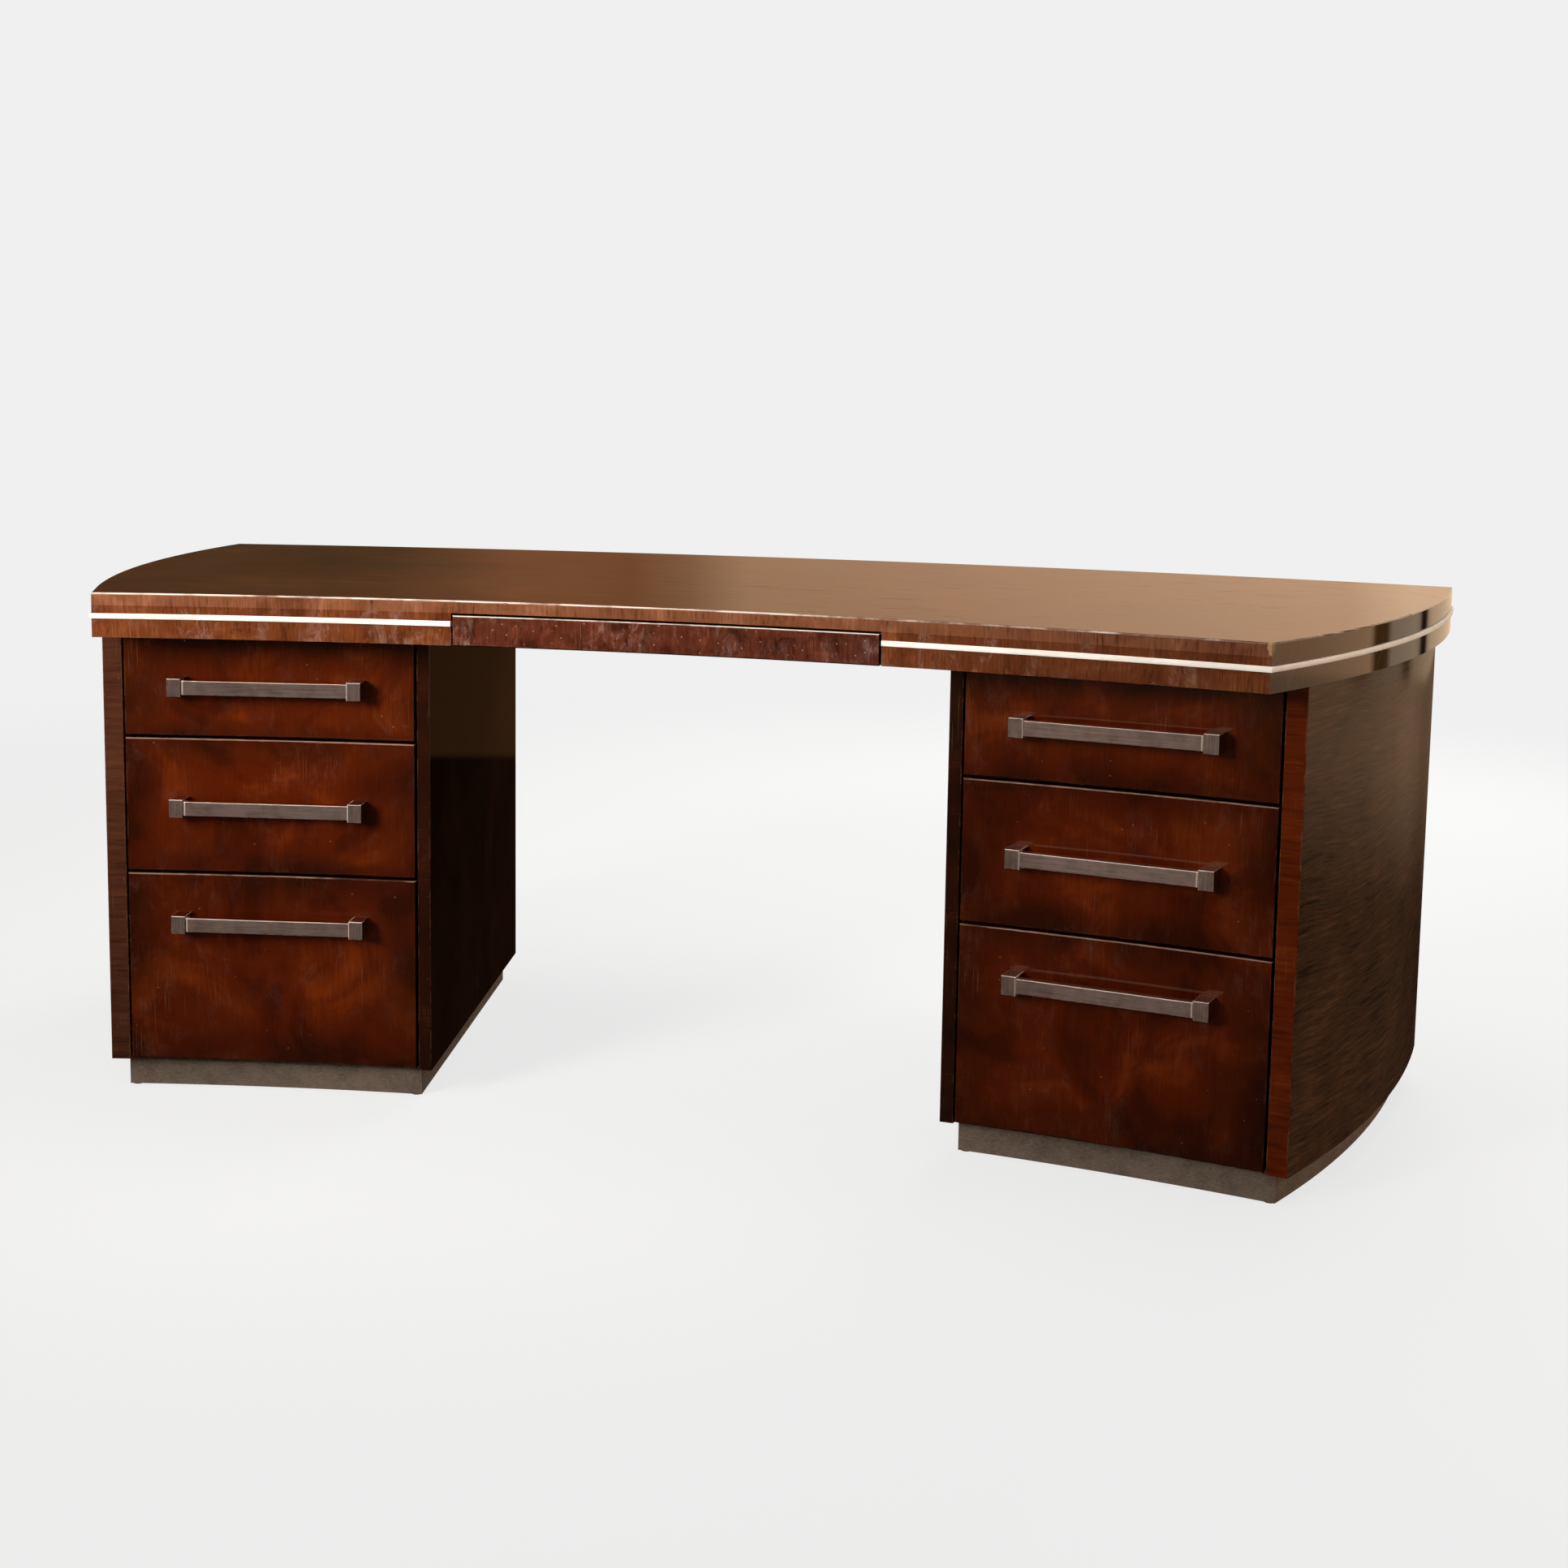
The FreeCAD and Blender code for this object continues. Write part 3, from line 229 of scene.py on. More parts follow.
def make_grain() -> None:
    """Makes veneer grain: clouds of colour, streaks along the grain and open pores."""
    takes = ("Place", "Stretch", "Dark", "Mid", "Light", "Mottle", "Streak", "Share", "Pore", "Depth")
    effect = Effect("veneer_grain", takes, ("Colour", "Height"))
    reads = effect.reads
    point = reads["Place"]
    sway = effect.add("TexNoise", {"Vector": point, "Scale": 4.0, "Detail": 2.0})["Color"]
    drift = effect.vector("SUBTRACT", sway, (0.5, 0.5, 0.5))
    place = effect.vector("ADD", point, effect.vector("MULTIPLY", drift, (0.03, 0.03, 0.03)))
    along = effect.vector("MULTIPLY", place, reads["Stretch"])
    mottle = effect.noise(point, reads["Mottle"], 3.0, 0.55, 0.8)
    streak = effect.noise(along, reads["Streak"], 5.0, 0.65, 0.15)
    value = effect.mix(reads["Share"], mottle, streak)
    low = effect.blend(effect.span(value, 0.36, 0.50), reads["Dark"], reads["Mid"])
    wood = effect.blend(effect.span(value, 0.50, 0.66), low, reads["Light"])
    pores = effect.cloud(along, reads["Pore"], 2.0, 0.5, 0.58, 0.70)
    shown = effect.blend(effect.times(pores, reads["Depth"]), wood, PORE_TONE, "MULTIPLY")
    effect.give(shown, effect.rest(pores))


def make_wear() -> None:
    """Makes wear on arrises: where the surface turns sharply, in broken patches."""
    effect = Effect("edge_wear", ("Place", "Radius", "Amount", "Scale"))
    reads = effect.reads
    facing = effect.add("NewGeometry")["Normal"]
    edge = effect.span(effect.vector("DOT_PRODUCT", effect.rounded(reads["Radius"]), facing), 0.998, 0.95)
    patch = effect.cloud(reads["Place"], reads["Scale"], 4.0, 0.7, 0.46, 0.62)
    effect.give(effect.times(effect.times(edge, patch), reads["Amount"], True))


def make_marks() -> None:
    """Makes marks in lacquer: straight hairlines, small specks and whitish upright scuffs."""
    effect = Effect("lacquer_marks", ("Place", "Scale", "Size"), ("Hairlines", "Specks", "Scuffs"))
    point = effect.reads["Place"]
    lines = []
    for turn, squeeze in HAIRLINE_RUNS:
        place = effect.add("Mapping", {"Vector": point, "Rotation": turn, "Scale": squeeze})[0]
        lines.append(effect.cloud(place, 1.0, 0.0, 0.5, 0.74, 0.80))
    hairlines = effect.times(effect.most(*lines), effect.cloud(point, 9.0, 3.0, 0.6, 0.50, 0.64))
    cells = effect.add("TexVoronoi", {"Vector": point, "Scale": effect.reads["Scale"]})
    dots = effect.span(effect.math("DIVIDE", cells["Distance"], effect.reads["Size"]), 1.0, 0.35)
    picked = effect.span(effect.add("SeparateColor", {0: cells["Color"]})[0], 0.72, 0.76)
    smear = effect.vector("MULTIPLY", point, SCUFF_SQUEEZE)
    scuffs = effect.span(effect.noise(smear, 1.0, 8.0, 0.78, 0.6), 0.48, 0.74)
    scuffs = effect.times(scuffs, effect.cloud(point, 9.0, 3.0, 0.6, 0.36, 0.62))
    effect.give(hairlines, effect.times(dots, picked), scuffs)


def make_border() -> None:
    """Makes the darker border that a shaded lacquer has round a front."""
    effect = Effect("shaded_border", ("Place", "Spot"))
    parts = effect.parts(effect.reads["Spot"])
    sides = []
    for part, start in (("X", 0.50), ("Z", 0.45)):
        away = effect.size(effect.math("SUBTRACT", effect.times(parts[part], 2.0), 1.0))
        sides.append(effect.span(away, start, 1.0))
    cloud = effect.cloud(effect.reads["Place"], 7.0, 3.0, 0.5, 0.30, 0.66, 0.45, 1.0)
    effect.give(effect.times(effect.most(*sides), cloud))


def make_rim_highlight_and_gap_shade() -> None:
    """Makes pale upper arrises, partly worn and partly painted highlight, and painted shade in gaps."""
    effect = Effect("rim_highlight_and_gap_shade", ("Place", "Radius", "Amount", "Loss"), ("Mask", "Grime"))
    reads = effect.reads
    parts = effect.parts(effect.rounded(reads["Radius"]))
    rise = parts["Z"]
    # Painted shade in the gaps: the upright and lower arrises.
    grime = effect.most(effect.span(effect.size(parts["X"]), 0.34, 0.60), effect.span(rise, -0.04, -0.25))
    # Painted highlight, partly worn lacquer: the upper arrises, in broken patches.
    turn = effect.times(effect.span(rise, 0.08, 0.30), effect.span(rise, 0.985, 0.90))
    cloud = effect.math("SUBTRACT", effect.noise(reads["Place"], 11.0, 4.0, 0.6), reads["Loss"])
    rubbed = effect.times(effect.span(cloud, 0.34, 0.52, 0.1, 1.0), reads["Amount"])
    effect.give(effect.times(turn, rubbed, True), grime)


def make_rub_and_highlight() -> None:
    """Makes a pull's upper arrises and joints pale: partly worn by hands and dusters, partly painted
    highlight.
    """
    effect = Effect("rub_and_highlight_metal", ("Joint", "Amount"))
    rise = effect.parts(effect.rounded(0.001))["Z"]
    arris = effect.times(effect.span(rise, 0.12, 0.40), effect.span(rise, 0.98, 0.88))
    # A pale line at each joint of bar and post: painted highlight.
    line = effect.span(effect.size(effect.reads["Joint"]), 0.0045, 0.002, 0.0, 0.6)
    effect.give(effect.times(effect.most(arris, line), effect.reads["Amount"]))


def make_brushing() -> None:
    """Makes brushed metal: fine lines along one way, and a cloudy tarnish."""
    effect = Effect("brushed_lines", ("Place", "Stretch", "Scale"), ("Lines", "Tarnish"))
    place = effect.reads["Place"]
    along = effect.vector("MULTIPLY", place, effect.reads["Stretch"])
    lines = effect.cloud(along, effect.reads["Scale"], 4.0, 0.75, 0.30, 0.70)
    effect.give(lines, effect.cloud(place, 38.0, 4.0, 0.6, 0.35, 0.68))


def make_dust() -> None:
    """Makes a thin film of dust on what faces up."""
    effect = Effect("dust_film", ("Place", "Amount"))
    up = effect.span(effect.parts(effect.add("NewGeometry")["Normal"])["Z"], 0.55, 0.95)
    cloud = effect.cloud(effect.reads["Place"], 5.0, 6.0, 0.7, 0.34, 0.70)
    effect.give(effect.times(effect.times(up, cloud), effect.reads["Amount"], True))


EFFECTS = (make_grain, make_wear, make_marks, make_border, make_rim_highlight_and_gap_shade, make_rub_and_highlight, make_brushing, make_dust)


class Surface(Graph):
    """A material's graph: its shader, the places that effects read, its colour so far and its harm."""

    def __init__(self, name: str) -> None:
        """Starts a material.

        Args:
            name: The finish's name.
        """
        self.material = bpy.data.materials.new(name)
        self.material.use_nodes = True
        super().__init__(self.material.node_tree)
        self.tree.nodes.clear()
        self.shader = self.node("BsdfPrincipled")
        self.add("OutputMaterial", {"Surface": self.shader.outputs[0]})
        places = self.add("TexCoord")
        self.point, self.facing, self.spot = (places[word] for word in ("Object", "Normal", "Generated"))
        self.colour: Feed = 0.0
        self.harm: Feed = 0.0

    def effect(self, name: str, **feeds: Feed) -> Outputs:
        """Lays a shared effect on the piece."""
        return self.group(name, {"Place": self.point} | feeds)

    def paint(self, mask: Feed, colour: Feed) -> None:
        """Lays a colour over the colour so far."""
        self.colour = self.blend(mask, self.colour, colour)

    def hurt(self, mask: Feed, colour: Feed) -> None:
        """Lays a colour where the gloss is harmed too."""
        self.paint(mask, colour)
        self.harm = self.most(self.harm, mask)

    def turned(self, part: str) -> Socket:
        """Measures how far the surface faces along an axis, either way."""
        return self.size(self.parts(self.facing)[part])

    def between(self, low: float, high: float, fade: float) -> Socket:
        """Finds the heights from low to high, which fade out at both ends."""
        level = self.parts(self.point)["Z"]
        return self.times(self.span(level, low - fade, low), self.span(level, high + fade, high))

    def worn(self, reach: float, amount: float, scale: float) -> Socket:
        """Finds worn arrises, by their reach in metres, their amount and their patches in a metre."""
        return self.effect("edge_wear", Radius=reach, Amount=amount, Scale=scale)[0]

    def clouded(self, scale: float, low: float, high: float) -> Socket:
        """Varies a value cloudily from low to high."""
        return self.cloud(self.point, scale, 4.0, 0.6, 0.3, 0.7, low, high)

    def finish(self, rough: Feed, height: Socket, bump: Pair, feeds: dict) -> bpy.types.Material:
        """Feeds the shader and gives the surface its fine relief.

        Args:
            rough: The roughness.
            height: The relief.
            bump: How much of the relief shows, and how deep it is in metres.
            feeds: What else goes into the shader.

        Returns:
            The material.
        """
        relief = self.add("Bump", {"Strength": bump[0], "Distance": bump[1], "Height": height})[0]
        feeds |= {"Base Color": self.colour, "Roughness": rough, "Normal": relief}
        self.feed(self.shader, feeds)
        return self.material


class Split(Enum):
    """Which faces take a second grain: the axis that they face along or away from, and its limits."""

    EDGES = ("Z", 0.75, 0.65)
    STILES = ("Y", 0.70, 0.80)


@dataclass(frozen=True)
class Grain:
    """One cut of veneer: its colours and how its grain runs. Its fields feed sockets of their names."""

    dark: Colour
    mid: Colour
    light: Colour
    stretch: Triple
    mottle: float = 9.0
    streak: float = 160.0
    share: float = 0.5
    pore: float = 700.0
    depth: float = 0.5

    def lay(self, surface: Surface) -> Outputs:
        """Lays the grain on a material and hands back its colour and height."""
        feeds = {name.capitalize(): value for name, value in vars(self).items()}
        return surface.effect("veneer_grain", **feeds)


@dataclass(frozen=True)
class Chip:
    """A corner that has lost its lacquer. Sizes are in metres."""

    place: Triple
    squeeze: Triple = (2.4, 1.2, 1.0)
    ragged: float = 0.014
    scale: float = 260.0
    reach: Pair = (0.021, 0.018)

    def mask(self, surface: Surface) -> Socket:
        """Finds the chip.

        Args:
            surface: The material.

        Returns:
            The mask.
        """
        apart = surface.vector("SUBTRACT", surface.point, self.place)
        away = surface.vector("LENGTH", surface.vector("MULTIPLY", apart, self.squeeze))
        rough = surface.times(surface.noise(surface.point, self.scale, 3.0), self.ragged)
        return surface.span(surface.math("ADD", away, rough), *self.reach)


@dataclass(frozen=True)
class Lacquer:
    """Veneer under a clear lacquer, with worn arrises, hairlines, scuffs, specks, dust, and painted
    highlight and shade.
    """

    name: str
    face: Grain
    edge: Grain | None = None
    split: Split = Split.EDGES
    coat: float = 1.0
    coat_roughness: float = 0.04
    coat_loss: float = 0.7
    roughness: float = 0.38
    harm_roughness: float = 0.2
    bump: Pair = (0.06, 0.0003)
    border: float = 0.0
    wear: Triple = (0.0022, 0.45, 42.0)
    worn: Colour = tone(150, 104, 70)
    worn_above: float = -1.0
    worn_below: float = 2.0
    level_fade: float = 0.003
    # Pale upper arrises: partly worn lacquer, partly a painted highlight.
    rim: float = 0.0
    rim_tone: Colour = tone(250, 236, 222)
    rim_reach: float = 0.001
    rim_fade: Pair | None = None
    rim_loss: float = 0.2
    # Painted shade on the lower and upright arrises, in the gaps between parts.
    grime: float = 0.0
    hairlines: float = 0.12
    specks: float = 0.4
    speck_scale: float = 62.0
    speck_size: float = 0.085
    scuffs: float = 0.0
    # Painted shade on faces turned to the sides.
    end_shade: float = 0.0
    open_pores: float = 0.0
    dust: float = 0.0
    chip: Chip | None = None

    def lay_veneer(self, surface: Surface) -> Socket:
        """Lays the veneer, with its second grain, its ends darkened as painted shade and its shaded border.

        Args:
            surface: The material.

        Returns:
            The relief of the first grain.
        """
        surface.colour, height = self.face.lay(surface).values()
        if self.edge is not None:
            part, *limits = self.split.value
            surface.paint(surface.span(surface.turned(part), *limits), self.edge.lay(surface)[0])
        # Painted shade: faces turned to the sides are darker.
        if self.end_shade:
            surface.paint(surface.span(surface.turned("X"), 0.70, 0.85, 0.0, self.end_shade), END_SHADE_TONE)
        if self.border:
            border = surface.effect("shaded_border", Spot=surface.spot)[0]
            surface.paint(surface.times(border, self.border), BORDER_TONE)
        return height

    def lay_harm(self, surface: Surface, gate: Socket) -> None:
        """Lays worn arrises, the chipped corner and the marks in the lacquer.

        Args:
            surface: The material.
            gate: The heights at which arrises wear.
        """
        worn = surface.times(surface.worn(*self.wear), gate)
        if self.chip is not None:
            worn = surface.most(worn, self.chip.mask(surface))
        surface.hurt(worn, self.worn)
        marks = surface.effect("lacquer_marks", Scale=self.speck_scale, Size=self.speck_size)
        amounts = (self.hairlines, self.specks, self.scuffs)
        for mark, amount, colour in zip(marks, amounts, (HAIRLINE_TONE, SPECK_TONE, SCUFF_TONE)):
            if amount:
                surface.hurt(surface.times(mark, amount), colour)

    def lay_rim(self, surface: Surface, gate: Socket) -> None:
        """Lays painted shade in gaps and pale upper arrises, partly worn and partly painted highlight, that
        may fade to one side.

        Args:
            surface: The material.
            gate: The heights at which arrises wear.
        """
        loss = 0.0
        # The painted highlight fades out along X.
        if self.rim_fade is not None:
            loss = surface.span(surface.parts(surface.point)["X"], *self.rim_fade, 0.0, self.rim_loss)
        rim = surface.effect("rim_highlight_and_gap_shade", Radius=self.rim_reach, Amount=self.rim, Loss=loss)
        # Painted shade in the gaps, then the pale upper arrises.
        if self.grime:
            surface.paint(surface.times(rim["Grime"], self.grime), GAP_SHADE_TONE)
        surface.paint(surface.times(rim["Mask"], gate), self.rim_tone)

    def material(self) -> bpy.types.Material:
        """Builds the finish.

        Returns:
            The material.
        """
        surface = Surface(self.name)
        height = self.lay_veneer(surface)
        gate = surface.between(self.worn_above, self.worn_below, self.level_fade)
        self.lay_harm(surface, gate)
        if self.rim:
            self.lay_rim(surface, gate)
        if self.dust:
            surface.hurt(surface.effect("dust_film", Amount=self.dust)[0], FILM_TONE)
        harm = surface.harm
        if self.open_pores:
            along = surface.vector("MULTIPLY", surface.point, DASH_SQUEEZE)
            dashes = surface.cloud(along, 1.0, 4.0, 0.6, 0.58, 0.70)
            patch = surface.cloud(surface.point, 3.0, 3.0, 0.5, 0.40, 0.60, 0.1, self.open_pores)
            harm = surface.most(harm, surface.times(dashes, patch))
        rough = surface.clouded(24.0, self.roughness - 0.07, self.roughness + 0.08)
        rough = surface.math("ADD", rough, surface.times(harm, self.harm_roughness), True)
        kept = surface.rest(surface.times(harm, self.coat_loss))
        feeds = {"Coat Weight": surface.times(kept, self.coat), "Coat Roughness": self.coat_roughness}
        feeds["Specular IOR Level"] = 0.0
        return surface.finish(rough, height, self.bump, feeds)


@dataclass(frozen=True)
class BareWood:
    """Stained or oiled wood without a gloss coat."""

    name: str
    grain: Grain
    roughness: float = 0.5
    gloss: float = 0.35
    wear: Triple = (0.002, 0.3, 60.0)
    dust: float = 0.12
    bump: Pair = (0.35, 0.0004)

    def material(self) -> bpy.types.Material:
        """Builds the finish.

        Returns:
            The material.
        """
        surface = Surface(self.name)
        surface.colour, height = self.grain.lay(surface).values()
        surface.paint(surface.worn(*self.wear), self.grain.light)
        surface.paint(surface.effect("dust_film", Amount=self.dust)[0], POWDER_TONE)
        rough = surface.clouded(60.0, self.roughness - 0.08, self.roughness + 0.1)
        return surface.finish(rough, height, self.bump, {"Specular IOR Level": self.gloss})


class Brushing(Enum):
    """The way that the lines of brushed metal run."""

    ACROSS = (0.02, 0.02, 1.0)
    UPRIGHT = (1.0, 1.0, 0.02)
    SPECKLED = (0.35, 0.35, 1.0)


@dataclass(frozen=True)
class Metal:
    """Metal: brushed lines, tarnish, worn arrises, and pale pull arrises partly worn, partly painted
    highlight.
    """

    name: str
    base: Colour
    tarnish: Colour
    bright: Colour
    brushing: Brushing
    scale: float = 900.0
    roughness: float = 0.34
    lines: float = 0.3
    tarnished: float = 0.7
    wear: Triple = (0.0013, 0.7, 90.0)
    metallic: float = 1.0
    rubbed: float = 0.0
    rubbed_metallic: float = 0.2
    polished: float = 0.12
    caps: Brushing | None = None
    cap_share: float = 0.0
    cap_tarnish: float = 0.5
    cap_part: str = "X"
    lean: float = 0.0
    bump: Pair = (0.1, 0.0002)

    def past_joint(self, surface: Surface) -> Socket:
        """Measures how far a place is past the joint of a pull's bar and post.

        Args:
            surface: The material.

        Returns:
            The distance as a share of the pull's length, below 0 on the bar.
        """
        parts = surface.parts(surface.spot)
        along = surface.math("SUBTRACT", parts[self.cap_part], 0.5)
        if self.lean:
            side = surface.math("SIGN", surface.parts(surface.point)["X"])
            depth = surface.times(surface.math("SUBTRACT", parts["Y"], 0.5), self.lean)
            along = surface.math("SUBTRACT", along, surface.times(side, depth))
        return surface.math("SUBTRACT", surface.size(along), 0.5 - self.cap_share)

    def lay_lines(self, surface: Surface) -> Socket:
        """Lays the brushed lines, which run another way on the darker end posts of a pull.

        Args:
            surface: The material.

        Returns:
            The lines.
        """
        ways = [way.value for way in (self.brushing, self.caps) if way is not None]
        runs = [surface.effect("brushed_lines", Stretch=way, Scale=self.scale) for way in ways]
        lines, tarnish = runs[0].values()
        if self.caps is not None:
            cap = surface.math("GREATER_THAN", self.past_joint(surface), 0.0)
            lines = surface.mix(cap, lines, runs[1]["Lines"])
            tarnish = surface.math("ADD", tarnish, surface.times(cap, self.cap_tarnish))
        surface.colour = self.base
        surface.paint(surface.times(tarnish, self.tarnished, True), self.tarnish)
        surface.paint(surface.times(lines, self.lines), self.bright)
        return lines

    def material(self) -> bpy.types.Material:
        """Builds the finish.

        Returns:
            The material.
        """
        surface = Surface(self.name)
        lines = self.lay_lines(surface)
        surface.paint(surface.worn(*self.wear), self.bright)
        rough = surface.span(lines, 0.0, 1.0, self.roughness + 0.12, self.roughness - 0.04)
        metallic = self.metallic
        # Pale upper arrises and joint lines: partly worn metal, partly a painted highlight.
        if self.rubbed:
            polish = surface.span(surface.turned("Y"), 0.85, 0.60)
            surface.paint(polish, self.bright)
            rough = surface.mix(polish, rough, self.polished)
            feeds = {"Joint": self.past_joint(surface), "Amount": self.rubbed}
            rubbed = surface.group("rub_and_highlight_metal", feeds)[0]
            surface.paint(rubbed, RUB_AND_HIGHLIGHT_TONE)
            metallic = surface.span(rubbed, 0.0, 1.0, self.metallic, self.rubbed_metallic)
        return surface.finish(rough, lines, self.bump, {"Metallic": metallic})


@dataclass(frozen=True)
class Plastic:
    """Moulded plastic with a fine grain."""

    name: str
    base: Colour
    pale: Colour = tone(58, 54, 50)
    worn: Colour = tone(92, 86, 80)
    roughness: float = 0.5
    scale: float = 160.0
    wear: Triple = (0.001, 0.6, 200.0)
    bump: Pair = (0.2, 0.0002)

    def material(self) -> bpy.types.Material:
        """Builds the finish.

        Returns:
            The material.
        """
        surface = Surface(self.name)
        surface.colour = self.base
        surface.paint(surface.clouded(self.scale, 0.0, 0.5), self.pale)
        surface.paint(surface.worn(*self.wear), self.worn)
        rough = surface.clouded(self.scale, self.roughness - 0.08, self.roughness + 0.1)
        return surface.finish(rough, surface.noise(surface.point, self.scale, 4.0, 0.6), self.bump, {})


UPRIGHT = (1.0, 1.0, 0.05)
LENGTHWISE = (0.035, 1.0, 1.0)
DEPTHWISE = (1.0, 0.035, 1.0)
LEVEL = (0.06, 0.06, 1.0)
BOWED = (0.05, 0.05, 1.0)

TOP_VENEER = Grain(
    tone(72, 31, 13), tone(98, 46, 20), tone(126, 66, 31), LENGTHWISE, 3.5, 130.0, 0.62, pore=420.0
)
EDGE_VENEER = Grain(tone(100, 56, 34), tone(130, 78, 51), tone(158, 103, 74), UPRIGHT, 15.0, 240.0, 0.4)
FRIEZE_VENEER = Grain(tone(82, 38, 17), tone(108, 54, 27), tone(136, 76, 43), UPRIGHT, 15.0, 240.0, 0.4)
PENCIL_VENEER = Grain(tone(59, 25, 16), tone(90, 42, 27), tone(119, 62, 44), UPRIGHT, 28.0, 260.0, 0.32)
FRONT_VENEER = Grain(
    tone(64, 18, 3), tone(85, 27, 4), tone(113, 42, 7), UPRIGHT, 9.0, 320.0, 0.2, pore=900.0, depth=0.06
)
OUTER_VENEER = Grain(tone(56, 35, 21), tone(94, 62, 41), tone(128, 82, 50), BOWED, 7.0, 240.0, 0.7)
# Darker than the outer veneer: partly the wood's own tone, partly painted shade of the kneehole.
KNEEHOLE_VENEER = Grain(tone(42, 23, 15), tone(60, 35, 23), tone(82, 49, 32), UPRIGHT, 6.0, 300.0)
LEFT_STILE_VENEER = Grain(
    tone(60, 32, 21), tone(78, 43, 28), tone(95, 55, 37), LEVEL, 10.0, 200.0, 0.7, depth=0.2
)
RIGHT_STILE_VENEER = Grain(
    tone(82, 28, 8), tone(102, 37, 10), tone(124, 50, 14), LEVEL, 10.0, 200.0, 0.7, depth=0.2
)
# Darker than the outer stiles: partly the wood's own tone, partly painted shade of the kneehole.
INNER_STILE_VENEER = Grain(
    tone(28, 10, 5), tone(40, 15, 7), tone(54, 22, 10), LEVEL, 10.0, 260.0, 0.4, depth=0.2
)
CARCASE_WOOD = Grain(tone(54, 30, 18), tone(84, 50, 30), tone(112, 72, 46), LENGTHWISE, 6.0)
BOX_WOOD = Grain(
    tone(150, 108, 68), tone(182, 140, 94), tone(206, 168, 122), DEPTHWISE, 6.0, depth=0.3
)

LEFT_SIDE = Lacquer(
    "outer_left_veneer", OUTER_VENEER, LEFT_STILE_VENEER, Split.STILES, 0.45, 0.09, wear=(0.0022, 0.8, 42.0)
)
LONG_BOX = BareWood("drawer_wood_long", BOX_WOOD, roughness=0.42)
DRAWER_PULL = Metal(
    "pull_metal", tone(136, 118, 112), tone(100, 84, 76), tone(190, 176, 170), Brushing.ACROSS,
    roughness=0.45, wear=(0.0013, 2.2, 90.0), rubbed=0.9, caps=Brushing.UPRIGHT, cap_share=0.073, lean=0.06
)

FINISHES = {
    # The top's pale front arris is partly worn and partly a painted highlight that fades out to the right;
    # its ends and the frieze's ends are darkened as painted shade.
    "top": Lacquer(
        "top_veneer", TOP_VENEER, EDGE_VENEER, bump=(0.02, 0.0003), worn=tone(196, 152, 110),
        worn_above=0.752, rim=1.0, rim_reach=0.0018, rim_fade=(0.10, 0.34), scuffs=0.10, end_shade=0.88,
        open_pores=0.6, dust=0.05, chip=Chip((0.821, -0.4935, 0.757))
    ),
    "frieze": Lacquer(
        "frieze_veneer", FRIEZE_VENEER, worn_below=0.712, specks=0.5, scuffs=0.45, end_shade=0.88
    ),
    # The pencil drawer's front has painted shade round its gaps and a pale top arris, partly worn and
    # partly a painted highlight.
    "pencil": Lacquer(
        "pencil_veneer", PENCIL_VENEER, rim=1.0, grime=0.9, hairlines=0.3, specks=1.0, speck_scale=150.0,
        speck_size=0.19, scuffs=0.42
    ),
    # The drawer fronts have painted shade round their gaps and pale top arrises, partly worn and partly a
    # painted highlight.
    "front": Lacquer(
        "front_veneer", FRONT_VENEER, border=0.72, rim=0.85, rim_tone=tone(190, 150, 130), rim_reach=0.0016,
        grime=0.95, scuffs=0.05
    ),
    "outer_left": LEFT_SIDE,
    "outer_right": replace(LEFT_SIDE, name="outer_right_veneer", edge=RIGHT_STILE_VENEER),
    "inner": Lacquer(
        "kneehole_veneer", KNEEHOLE_VENEER, INNER_STILE_VENEER, Split.STILES, coat_roughness=0.012,
        bump=(0.01, 0.0003)
    ),
    "carcase": BareWood("carcase_wood", CARCASE_WOOD),
    "box_long": LONG_BOX,
    "box_cross": replace(LONG_BOX, name="drawer_wood_cross", grain=replace(BOX_WOOD, stretch=LENGTHWISE)),
    "band": Metal(
        "polished_metal", tone(252, 246, 238), tone(240, 230, 216), tone(255, 255, 252), Brushing.ACROSS,
        roughness=0.42, lines=0.4, wear=(0.0013, 0.2, 90.0), metallic=0.45
    ),
    "pull": DRAWER_PULL,
    "door_pull": replace(
        DRAWER_PULL, name="door_pull_metal", brushing=Brushing.UPRIGHT, caps=Brushing.ACROSS,
        cap_share=0.074, cap_part="Z", lean=0.0
    ),
    "plinth": Metal(
        "plinth_metal", tone(106, 90, 78), tone(70, 57, 48), tone(142, 126, 112), Brushing.SPECKLED,
        scale=520.0, roughness=0.55, lines=0.5, metallic=0.5
    ),
    "steel": Metal(
        "runner_steel", tone(176, 178, 180), tone(138, 140, 142), tone(214, 216, 218), Brushing.ACROSS,
        roughness=0.3
    ),
    "plastic": Plastic("glide_plastic", tone(34, 32, 31)),
}


